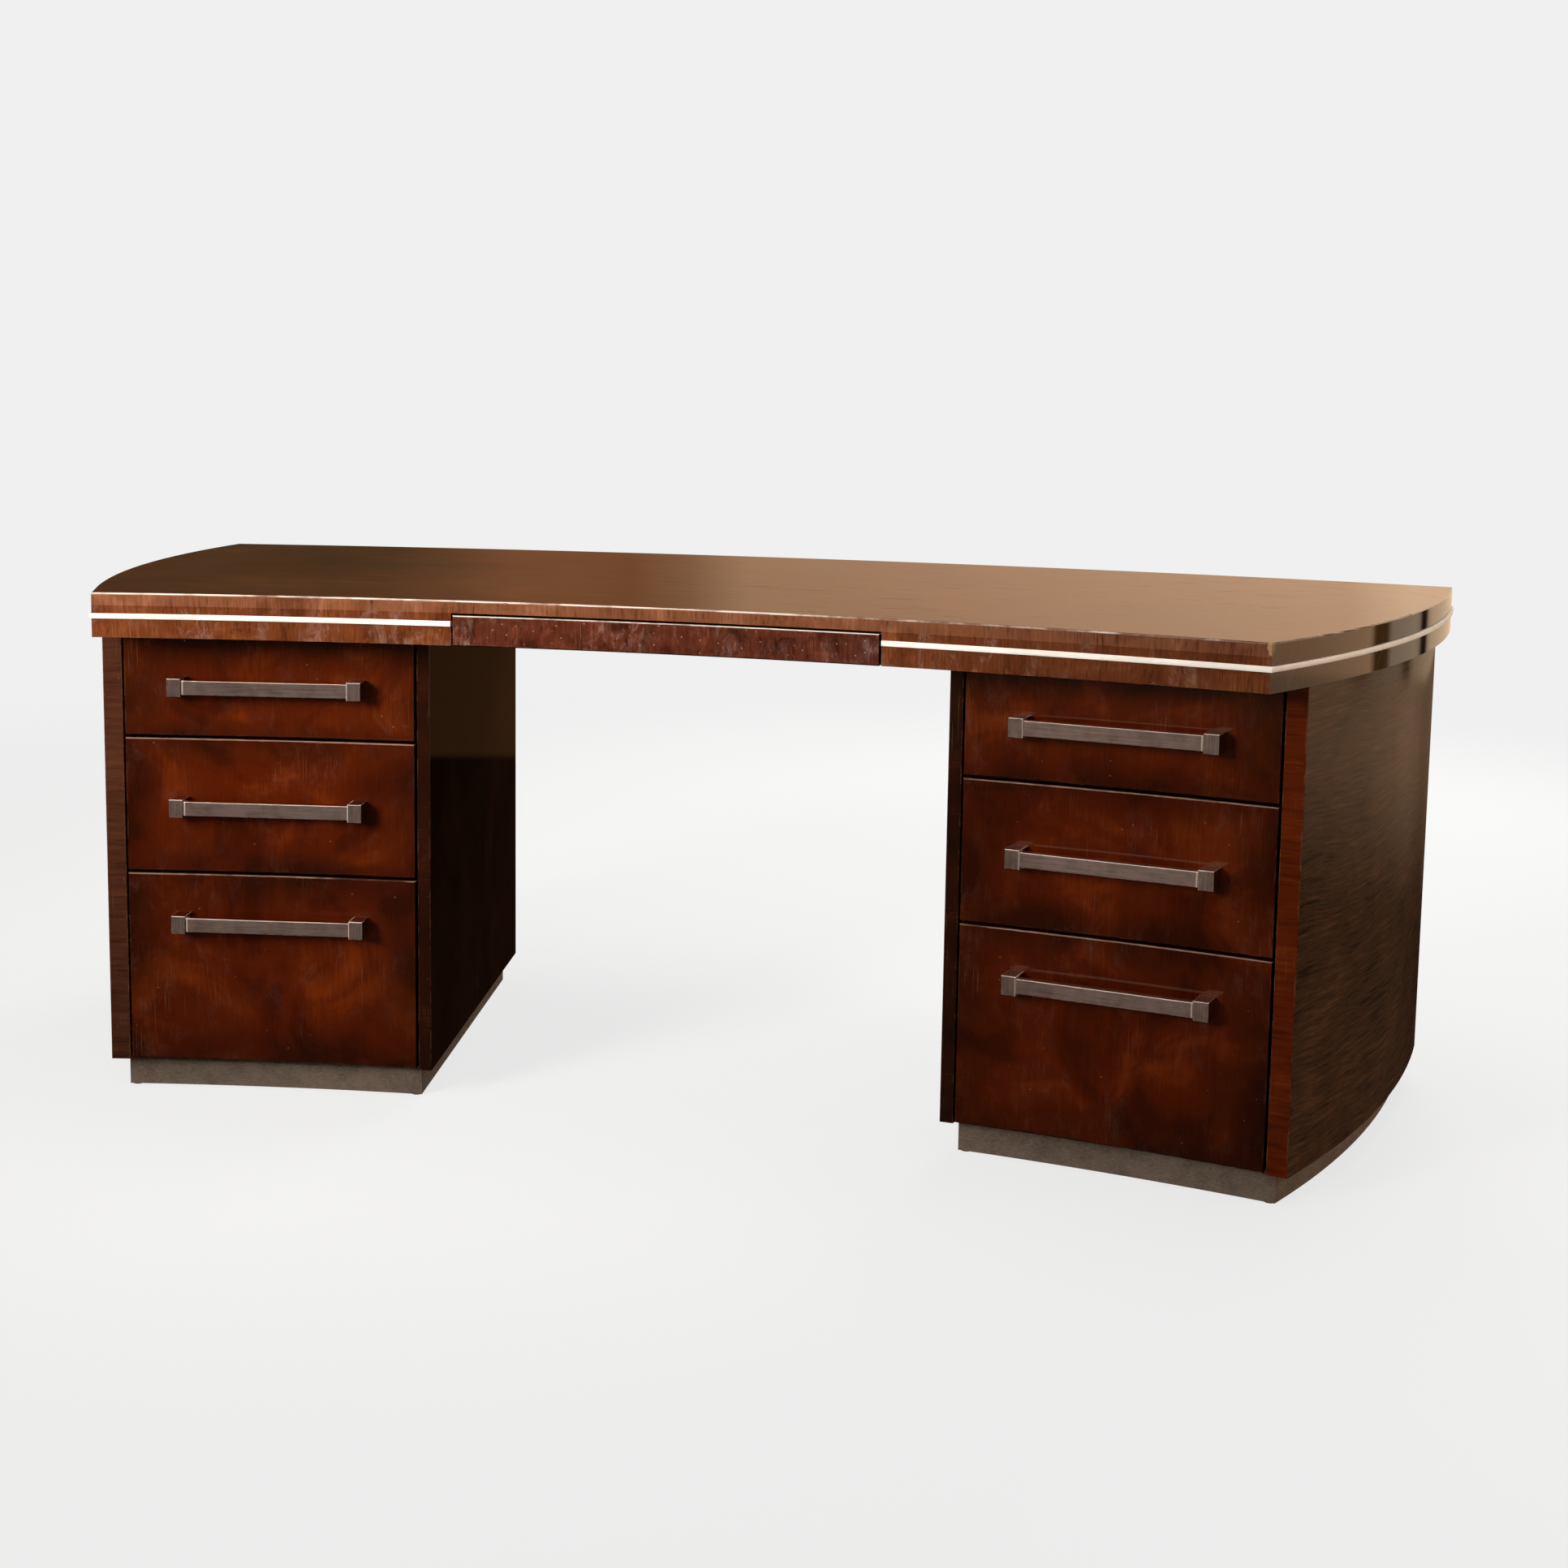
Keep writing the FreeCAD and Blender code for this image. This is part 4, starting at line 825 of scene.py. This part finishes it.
class Workshop:
    """Puts finishes on pieces of the frame and makes new pieces."""

    def __init__(self) -> None:
        """Builds each effect and finish once, and starts the list of metal pieces."""
        for make in EFFECTS:
            make()
        self.materials = {name: finish.material() for name, finish in FINISHES.items()}
        self.metals = bpy.data.collections.new("metal_pieces")

    def sort(self, piece: bpy.types.Object, finish: str) -> None:
        """Lists a piece as metal if its finish is."""
        if isinstance(FINISHES[finish], Metal):
            self.metals.objects.link(piece)

    def dress(self, finishes: dict[str, str]) -> None:
        """Gives pieces of the frame their finishes.

        Args:
            finishes: The name of the finish, by the piece.
        """
        for node, finish in finishes.items():
            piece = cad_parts[node]
            for slot in piece.material_slots:
                slot.material = self.materials[finish]
            self.sort(piece, finish)
            LOG.info("%s in %s", node, finish)

    def add(
        self, name: str, mesh: bpy.types.Mesh, finish: str, body: str, place: Matrix | None = None
    ) -> bpy.types.Object:
        """Adds a new piece that rides on a body.

        Args:
            name: The piece's name.
            mesh: Its mesh.
            finish: The finish's name.
            body: The body that it moves with.
            place: Where the mesh's own frame is, if not at the origin.

        Returns:
            The piece.
        """
        piece = bpy.data.objects.new(name, mesh)
        bpy.context.scene.collection.objects.link(piece)
        mesh.materials.append(self.materials[finish])
        if place is not None:
            piece.matrix_world = place
        self.sort(piece, finish)
        LOG.info("%s in %s on %s", name, finish, body)
        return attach(piece, body)


def rounded_mesh(
    name: str, work: bmesh.types.BMesh, edges: list[bmesh.types.BMEdge], radius: float, segments: int
) -> bpy.types.Mesh:
    """Rounds edges and makes a mesh that is shaded smoothly, except over sharp edges.

    Args:
        name: The mesh's name.
        work: The shape, which is used up.
        edges: The edges to round.
        radius: How far the rounding reaches, in metres.
        segments: How many steps it has.

    Returns:
        The mesh.
    """
    bmesh.ops.bevel(work, geom=edges, offset=radius, segments=segments, profile=0.5, affect="EDGES")
    mesh = bpy.data.meshes.new(name)
    work.to_mesh(mesh)
    work.free()
    for label in ("custom_normal", "sharp_face", "sharp_edge"):
        if label in mesh.attributes:
            mesh.attributes.remove(mesh.attributes[label])
    mesh.shade_smooth()
    mesh.set_sharp_from_angle(angle=SMOOTH_TURN)
    return mesh


def board(work: bmesh.types.BMesh, outline: list[Pair], axis: int, start: float, end: float) -> None:
    """Adds a board of any outline to a mesh.

    Args:
        work: The mesh.
        outline: The corners across the other two axes, in their order.
        axis: The axis along the board's thickness: 0, 1 or 2.
        start: Where the thickness starts.
        end: Where it ends.
    """
    rings = []
    for level in (start, end):
        places = [(*corner[:axis], level, *corner[axis:]) for corner in outline]
        rings.append([work.verts.new(place) for place in places])
    low, high = rings
    work.faces.new(low[::-1])
    work.faces.new(high)
    for index in range(len(low)):
        work.faces.new((low[index - 1], low[index], high[index], high[index - 1]))


@dataclass
class DeskTop:
    """The top board, its frieze and the metal band in the frieze. Sizes are in metres."""

    band_radius: float = 0.0009
    band_segments: int = 3

    def build(self, workshop: Workshop) -> None:
        """Rebuilds the band as a rounded bead.

        Args:
            workshop: Makes the pieces.
        """
        for word in ("left", "right", "back"):
            node = f"metal_band_{word}"
            name = f"band_bead_{word}"
            bead = workshop.add(name, self.bead_mesh(node, name), "band", "desk")
            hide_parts(node)

    def bead_mesh(self, node: str, name: str) -> bpy.types.Mesh:
        """Copies a piece of the band and rounds its level arrises.

        Args:
            node: The piece.
            name: The new mesh's name.

        Returns:
            The new mesh.
        """
        work = bmesh.new()
        work.from_mesh(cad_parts[node].data)
        bmesh.ops.remove_doubles(work, verts=work.verts, dist=SMALLEST)
        bmesh.ops.dissolve_limit(work, angle_limit=FLAT_TURN, verts=work.verts, edges=work.edges)
        sharp = [edge for edge in work.edges if edge.is_manifold and edge.calc_face_angle() > SHARP_TURN]
        level = [edge for edge in sharp if abs(edge.verts[0].co.z - edge.verts[1].co.z) < SMALLEST]
        return rounded_mesh(name, work, level, self.band_radius, self.band_segments)

    def dress(self, workshop: Workshop) -> None:
        """Puts veneer on the top and its frieze, and wood on what is under it.

        Args:
            workshop: Holds the finishes.
        """
        places = ("front_left", "front_right", "end_left", "end_right", "back")
        workshop.dress({"top_board": "top"} | {f"frieze_{place}": "frieze" for place in places})
        workshop.dress({"pencil_drawer_guides": "carcase", "top_bearers": "carcase"})


@dataclass
class PencilDrawer:
    """The shallow drawer in the frieze."""

    name: str = "pencil_drawer"

    def dress(self, workshop: Workshop) -> None:
        """Puts veneer on the front and wood on the box."""
        workshop.dress({f"{self.name}_front": "pencil", f"{self.name}_box": "box_long"})


@dataclass
class DrawerBox:
    """One drawer's box: sides dovetailed to the back, and a bottom. Sizes are in metres.

    Where mirror is -1, and not 1, the box is turned over from left to right.
    """

    low: float
    high: float
    mirror: int
    left: float = -0.2123
    right: float = 0.2033
    near: float = 0.020
    far: float = 0.460
    wall: float = 0.012
    bottom_lift: float = 0.008
    bottom_thickness: float = 0.006
    arris: float = 0.0008
    arris_segments: int = 2
    flare: float = 0.0022
    tail: float = 0.030
    pitch_share: float = 1.35
    tail_share: float = 0.62

    def walls(self) -> list[Pair]:
        """Places the outer and inner faces of both sides."""
        faces = ((self.left, self.left + self.wall), (self.right, self.right - self.wall))
        return [(self.mirror * outer, self.mirror * inner) for outer, inner in faces]

    def pins(self) -> list[list[Pair]]:
        """Outlines the pins of the back, which are also the notches of the sides.

        Returns:
            For each pin, its corners as depth and height.
        """
        count = max(2, round((self.high - self.low) / (self.tail * self.pitch_share)))
        pitch = (self.high - self.low) / count
        narrow = (pitch - self.tail * self.tail_share) / 2
        wide = narrow + self.flare
        inside = self.far - self.wall
        pins = []
        for index in range(1, count):
            middle = self.low + pitch * index
            pin = [(self.far, middle - narrow), (inside, middle - wide)]
            pins.append(pin + [(inside, middle + wide), (self.far, middle + narrow)])
        return pins

    def boards(self) -> dict[str, bmesh.types.BMesh]:
        """Makes the boards.

        Returns:
            The sides with the bottom, and the back with its pins.
        """
        made = {"sides": bmesh.new(), "back": bmesh.new()}
        inside = self.far - self.wall
        start = [(self.near, self.low), (self.far, self.low)]
        outline = start + sum(self.pins(), []) + [(self.far, self.high), (self.near, self.high)]
        left, right = sorted(inner for _, inner in self.walls())
        plan = [(inside, self.low), (self.far, self.low), (self.far, self.high), (inside, self.high)]
        board(made["back"], plan, 0, left, right)
        for outer, inner in self.walls():
            board(made["sides"], outline, 0, outer, inner)
            for pin in self.pins():
                board(made["back"], pin, 0, outer, inner)
        plan = [(left, self.near), (right, self.near), (right, inside), (left, inside)]
        base = self.low + self.bottom_lift
        board(made["sides"], plan, 2, base, base + self.bottom_thickness)
        return made

    def build(self, workshop: Workshop, name: str, place: Matrix) -> None:
        """Makes the box and puts it in the place of the plain one.

        Args:
            workshop: Makes the pieces.
            name: The drawer's name, which is its body's name too.
            place: The pedestal's frame.
        """
        finishes = {"sides": "box_long", "back": "box_cross"}
        for part, work in self.boards().items():
            bmesh.ops.recalc_face_normals(work, faces=work.faces)
            mesh = rounded_mesh(f"{name}_{part}", work, work.edges[:], self.arris, self.arris_segments)
            piece = workshop.add(f"{name}_{part}", mesh, finishes[part], name, place)
            if part == "sides":
                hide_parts(f"{name}_box")


@dataclass
class Pedestal:
    """One pedestal: sides, boards, plinth, three drawers and a cupboard. Sizes are in metres."""

    word: str
    side: int
    across: float = 0.625472
    depth: float = -0.338601
    splay: float = 11.0
    box_lift: float = 0.020
    box_drop: float = 0.032
    fronts: dict[str, Pair] = field(
        default_factory=lambda: dict(top=(0.541, 0.692), middle=(0.337, 0.537), lower=(0.0485, 0.333))
    )

    def place(self) -> Matrix:
        """Gives the pedestal's own frame, with x along its front and y back."""
        turn = Matrix.Rotation(math.radians(-self.side * self.splay), 4, "Z")
        return Matrix.Translation((self.side * self.across, self.depth, 0.0)) @ turn

    def build(self, workshop: Workshop) -> None:
        """Makes the drawer boxes.

        Args:
            workshop: Makes the pieces.
        """
        for drawer, (low, high) in self.fronts.items():
            box = DrawerBox(low + self.box_lift, high - self.box_drop, self.side)
            box.build(workshop, f"{self.word}_{drawer}_drawer", self.place())

    def dress(self, workshop: Workshop) -> None:
        """Puts finishes on the pedestal, its drawers and its door.

        Args:
            workshop: Holds the finishes.
        """
        finishes = {"outer_side": f"outer_{self.word}", "inner_side": "inner", "plinth": "plinth"}
        finishes |= {"fixed_runners": "steel", "door": "front", "door_pull": "door_pull"}
        finishes |= dict.fromkeys(("bottom_board", "top_board", "divider"), "carcase")
        for drawer in self.fronts:
            finishes |= {f"{drawer}_drawer_front": "front", f"{drawer}_drawer_pull": "pull"}
            finishes[f"{drawer}_drawer_runners"] = "steel"
        workshop.dress({f"{self.word}_{part}": finish for part, finish in finishes.items()})


@dataclass
class Fittings:
    """What both cupboards and both plinths share."""

    metal: tuple[str, ...] = ("door_pivots", "door_catches")
    wood: tuple[str, ...] = ("cupboard_shelves", "shelf_bearers")
    glides: str = "floor_glides"

    def dress(self, workshop: Workshop) -> None:
        """Puts finishes on the fittings."""
        workshop.dress(dict.fromkeys(self.metal, "steel") | {self.glides: "plastic"})
        workshop.dress(dict.fromkeys(self.wood, "carcase"))


@dataclass(frozen=True)
class Lamp:
    """A soft square light. Lacquer takes its light without a hard picture of it; metal mirrors it."""

    name: str
    place: Triple
    aim: Triple
    size: float
    power: float
    colour: Triple
    glint: float = 1.0
    spread: float = 180.0

    def build(self, metals: bpy.types.Collection) -> None:
        """Hangs the light and its twin for metal, out of the camera's sight.

        Args:
            metals: The metal pieces.
        """
        self.hang(self.name, self.power).visible_glossy = False
        twin = self.hang(f"{self.name}_glint", self.power * self.glint)
        twin.light_linking.receiver_collection = metals

    def hang(self, name: str, power: float) -> bpy.types.Object:
        """Hangs one light.

        Args:
            name: Its name.
            power: How strong it is, in watts.

        Returns:
            The light.
        """
        lamp = bpy.data.lights.new(name, "AREA")
        lamp.shape = "SQUARE"
        lamp.size = self.size
        lamp.energy = power
        lamp.color = self.colour
        lamp.spread = math.radians(self.spread)
        light = bpy.data.objects.new(name, lamp)
        bpy.context.scene.collection.objects.link(light)
        way = Vector(self.aim) - Vector(self.place)
        turn = way.to_track_quat("-Z", "Y").to_matrix().to_4x4()
        light.matrix_world = Matrix.Translation(self.place) @ turn
        light.visible_camera = False
        return light


@dataclass(frozen=True)
class MirroredRoom:
    """The room that only lacquer and metal mirror, coloured by the way that is looked in.

    Walls go by their turn, and glows by their turn, rise, inner and outer reach, all in degrees. Limits
    are what a turn in radians, or a rise, is eased from and into.
    """

    walls: tuple[tuple[float, Triple], ...] = (
        (-180.0, (0.10, 0.075, 0.055)),
        (-110.0, (0.14, 0.105, 0.08)),
        (-60.0, (0.10, 0.06, 0.035)),
        (-40.0, (0.02, 0.008, 0.003)),
        (-27.5, (0.049, 0.038, 0.017)),
        (-25.5, (0.038, 0.034, 0.014)),
        (-23.2, (0.066, 0.045, 0.022)),
        (-20.5, (0.235, 0.105, 0.047)),
        (-17.2, (0.17, 0.08, 0.034)),
        (-16.3, (0.455, 0.275, 0.155)),
        (-12.0, (0.52, 0.313, 0.184)),
        (-1.2, (0.76, 0.485, 0.30)),
        (-0.7, (0.98, 0.675, 0.437)),
        (21.0, (0.88, 0.62, 0.39)),
        (21.6, (0.012, 0.008, 0.006)),
        (24.8, (0.012, 0.008, 0.006)),
        (25.4, (0.68, 0.50, 0.34)),
        (34.1, (0.68, 0.50, 0.34)),
        (34.7, (0.13, 0.065, 0.018)),
        (38.6, (0.13, 0.065, 0.018)),
        (39.3, (1.1, 0.65, 0.355)),
        (66.0, (1.1, 0.65, 0.355)),
        (90.0, (0.20, 0.15, 0.11)),
        (130.0, (0.14, 0.105, 0.08)),
        (180.0, (0.10, 0.075, 0.055)),
    )
    glows: tuple[tuple[Limits, Colour], ...] = (
        ((0.0, 90.0, 10.0, 50.0), (0.7, 0.64, 0.56, 1.0)),
        ((-150.0, 16.0, 4.0, 26.0), (0.68, 0.50, 0.36, 1.0)),
        ((125.0, 18.0, 4.0, 26.0), (0.60, 0.44, 0.31, 1.0)),
        ((-85.0, 22.0, 4.0, 24.0), (0.60, 0.44, 0.31, 1.0)),
    )
    skirting: Limits = (0.05, 0.25, -0.104, -0.122)
    skirting_blur: float = 0.006
    ceiling: Limits = (0.25, 0.60, 1.0, 0.08)
    aside_near: Limits = (0.05, 0.09, 0.0, 0.4)
    aside_far: Limits = (0.2, 0.4, 0.0, 0.6)
    aside_end: Limits = (1.8, 1.2)
    low_ahead: Colour = (0.053, 0.023, 0.008, 1.0)
    low_aside: Colour = (0.66, 0.42, 0.25, 1.0)
    foot: Limits = (0.05, 0.09, -0.165, -0.182)
    foot_blur: Limits = (0.05, 0.09, 0.002, 0.04)
    foot_fall: Limits = (-1.0, 1.0, 0.08, 1.0)
    behind: Limits = (1.3, 2.0)
    behind_floor: Limits = (0.05, -0.05, 0.0, 0.04)
    behind_tone: Colour = (1.0, 0.70, 0.45, 1.0)

    def wall_colour(self, graph: Graph, turn: Socket) -> Socket:
        """Colours the walls.

        Args:
            graph: The world's graph.
            turn: The turn looked in, in radians.

        Returns:
            The walls' colour.
        """
        share = graph.add("MapRange", {0: turn, 1: -math.pi, 2: math.pi})[0]
        ramp = graph.node("ValToRGB", {0: share})
        stops = ramp.color_ramp.elements
        stops[0].color = (*self.walls[0][1], 1.0)
        stops[1].color = (*self.walls[-1][1], 1.0)
        for degrees, colour in self.walls[1:-1]:
            stops.new((degrees + 180.0) / 360.0).color = (*colour, 1.0)
        return ramp.outputs[0]

    def colour(self, graph: Graph, looked: Socket) -> Socket:
        """Colours the whole room.

        Args:
            graph: The world's graph.
            looked: The direction looked in.

        Returns:
            The room's colour.
        """
        way = graph.parts(looked)
        rise = way["Z"]
        turn = graph.math("ARCTAN2", way["X"], way["Y"])
        over = graph.math("SUBTRACT", rise, graph.span(turn, *self.skirting))
        above = graph.span(over, -self.skirting_blur, 0.0)
        lit = graph.times(above, graph.span(rise, *self.ceiling))
        room = graph.blend(1.0, self.wall_colour(graph, turn), lit, "MULTIPLY")
        aside = graph.math("ADD", graph.span(turn, *self.aside_near), graph.span(turn, *self.aside_far))
        aside = graph.times(aside, graph.span(turn, *self.aside_end))
        brown = graph.blend(aside, self.low_ahead, self.low_aside)
        foot = graph.math("SUBTRACT", rise, graph.span(turn, *self.foot))
        foot = graph.math("DIVIDE", foot, graph.span(turn, *self.foot_blur))
        low = graph.times(graph.span(foot, *self.foot_fall), graph.rest(above))
        room = graph.blend(low, room, brown, "ADD")
        behind = graph.span(graph.size(turn), *self.behind)
        floor = graph.times(behind, graph.span(rise, *self.behind_floor))
        room = graph.blend(floor, room, self.behind_tone, "ADD")
        for angles, colour in self.glows:
            turned, risen, inner, outer = map(math.radians, angles)
            level = math.cos(risen)
            middle = (math.sin(turned) * level, math.cos(turned) * level, math.sin(risen))
            near = graph.vector("DOT_PRODUCT", looked, middle)
            room = graph.blend(graph.span(near, math.cos(outer), math.cos(inner)), room, colour, "ADD")
        return room


@dataclass
class Studio:
    """The floor, the room that the lacquer mirrors, the lights and the camera."""

    eye: Triple = (0.985724, -3.517045, 1.105268)
    yaw: float = -0.28241
    pitch: float = 0.138049
    roll: float = -0.011349
    focal: float = 2963.872
    centre: Pair = (883.636, 850.313)
    image: float = 1932.0
    sensor: float = 36.0
    pale: Colour = (0.87, 0.87, 0.87, 1.0)
    soft: Colour = (1.0, 0.98, 0.95, 1.0)
    soft_strength: float = 0.16
    floor_tone: Colour = (0.26, 0.265, 0.27, 1.0)
    floor_glow: float = 0.735
    floor_reach: float = 5.0
    floor_fade: Pair = (4.6, 2.4)
    room: MirroredRoom = MirroredRoom()
    lamps: tuple[Lamp, ...] = (
        Lamp("key", (-2.0, -3.7, 1.9), (-0.4, -0.35, 1.2), 1.3, 14.5, (1.0, 0.95, 0.88), 1.6, 44.0),
        Lamp("left_glow", (-1.5, -2.0, 1.5), (-0.8, -0.4, 0.75), 0.6, 2.5, (1.0, 0.93, 0.85), 1.0, 70.0),
        Lamp("front_canopy", (-0.5, -2.5, 3.1), (0.0, -0.3, 0.7), 1.8, 7.0, (1.0, 0.97, 0.93), 5.0),
        Lamp("overhead", (0.2, 0.3, 3.6), (0.0, 0.0, 0.0), 2.4, 30.0, (1.0, 0.97, 0.93)),
        Lamp("far_fill", (1.0, 4.2, 2.6), (0.0, 0.3, 0.4), 2.2, 80.0, (1.0, 0.96, 0.9)),
        Lamp("right_fill", (4.2, -0.4, 1.9), (0.9, 0.0, 0.4), 2.0, 18.0, (1.0, 0.90, 0.78), 3.0),
    )

    def build(self, metals: bpy.types.Collection) -> None:
        """Builds the whole studio.

        Args:
            metals: The metal pieces, which mirror the lamps.
        """
        self.make_camera()
        self.make_floor()
        self.make_room()
        for lamp in self.lamps:
            lamp.build(metals)
        bpy.context.scene.view_settings.view_transform = "Standard"

    def make_camera(self) -> None:
        """Puts the camera where the photograph was taken from."""
        lens = bpy.data.cameras.new("camera")
        lens.sensor_width = self.sensor
        lens.lens = self.sensor * self.focal / self.image
        lens.shift_x = (self.image / 2 - self.centre[0]) / self.image
        lens.shift_y = (self.centre[1] - self.image / 2) / self.image
        camera = bpy.data.objects.new("camera", lens)
        bpy.context.scene.collection.objects.link(camera)
        turn = Matrix.Rotation(-self.yaw, 4, "Z") @ Matrix.Rotation(math.pi / 2 - self.pitch, 4, "X")
        camera.matrix_world = Matrix.Translation(self.eye) @ turn @ Matrix.Rotation(-self.roll, 4, "Z")
        bpy.context.scene.camera = camera

    def make_floor(self) -> None:
        """Lays a pale floor that fades into the pale background."""
        surface = Surface("pale_floor")
        far = surface.vector("LENGTH", surface.point)
        feeds = {"Alpha": surface.span(far, *self.floor_fade), "Base Color": self.floor_tone}
        feeds |= {"Roughness": 1.0, "Specular IOR Level": 0.0}
        feeds |= {"Emission Color": (1.0, 1.0, 1.0, 1.0), "Emission Strength": self.floor_glow}
        surface.feed(surface.shader, feeds)
        reach = self.floor_reach
        corners = [(-reach, -reach, 0.0), (reach, -reach, 0.0), (reach, reach, 0.0), (-reach, reach, 0.0)]
        mesh = bpy.data.meshes.new("floor")
        mesh.from_pydata(corners, [], [(0, 1, 2, 3)])
        mesh.materials.append(surface.material)
        floor = bpy.data.objects.new("floor", mesh)
        bpy.context.scene.collection.objects.link(floor)
        floor.visible_glossy = False
        floor.visible_diffuse = False

    def make_room(self) -> None:
        """Builds the pale background, the soft light from all round and the mirrored room."""
        world = bpy.data.worlds.new("studio")
        world.use_nodes = True
        world.node_tree.nodes.clear()
        graph = Graph(world.node_tree)
        path = graph.add("LightPath")
        looked = graph.add("TexCoord")["Generated"]
        pale = graph.add("Background", {0: self.pale})[0]
        soft = graph.add("Background", {0: self.soft, 1: self.soft_strength})[0]
        room = graph.add("Background", {0: self.room.colour(graph, looked)})[0]
        lit = graph.add("MixShader", {0: path["Is Glossy Ray"], 1: soft, 2: room})[0]
        seen = graph.add("MixShader", {0: path["Is Camera Ray"], 1: lit, 2: pale})[0]
        graph.add("OutputWorld", {"Surface": seen})
        bpy.context.scene.world = world


def main() -> None:
    """Builds the desk piece by piece, then the studio."""
    logging.basicConfig(level=logging.INFO, format="%(message)s")
    workshop = Workshop()
    top = DeskTop()
    top.build(workshop)
    top.dress(workshop)
    PencilDrawer().dress(workshop)
    for word, side in SIDES.items():
        pedestal = Pedestal(word, side)
        pedestal.build(workshop)
        pedestal.dress(workshop)
    Fittings().dress(workshop)
    Studio().build(workshop.metals)


if __name__ == "__main__":
    main()
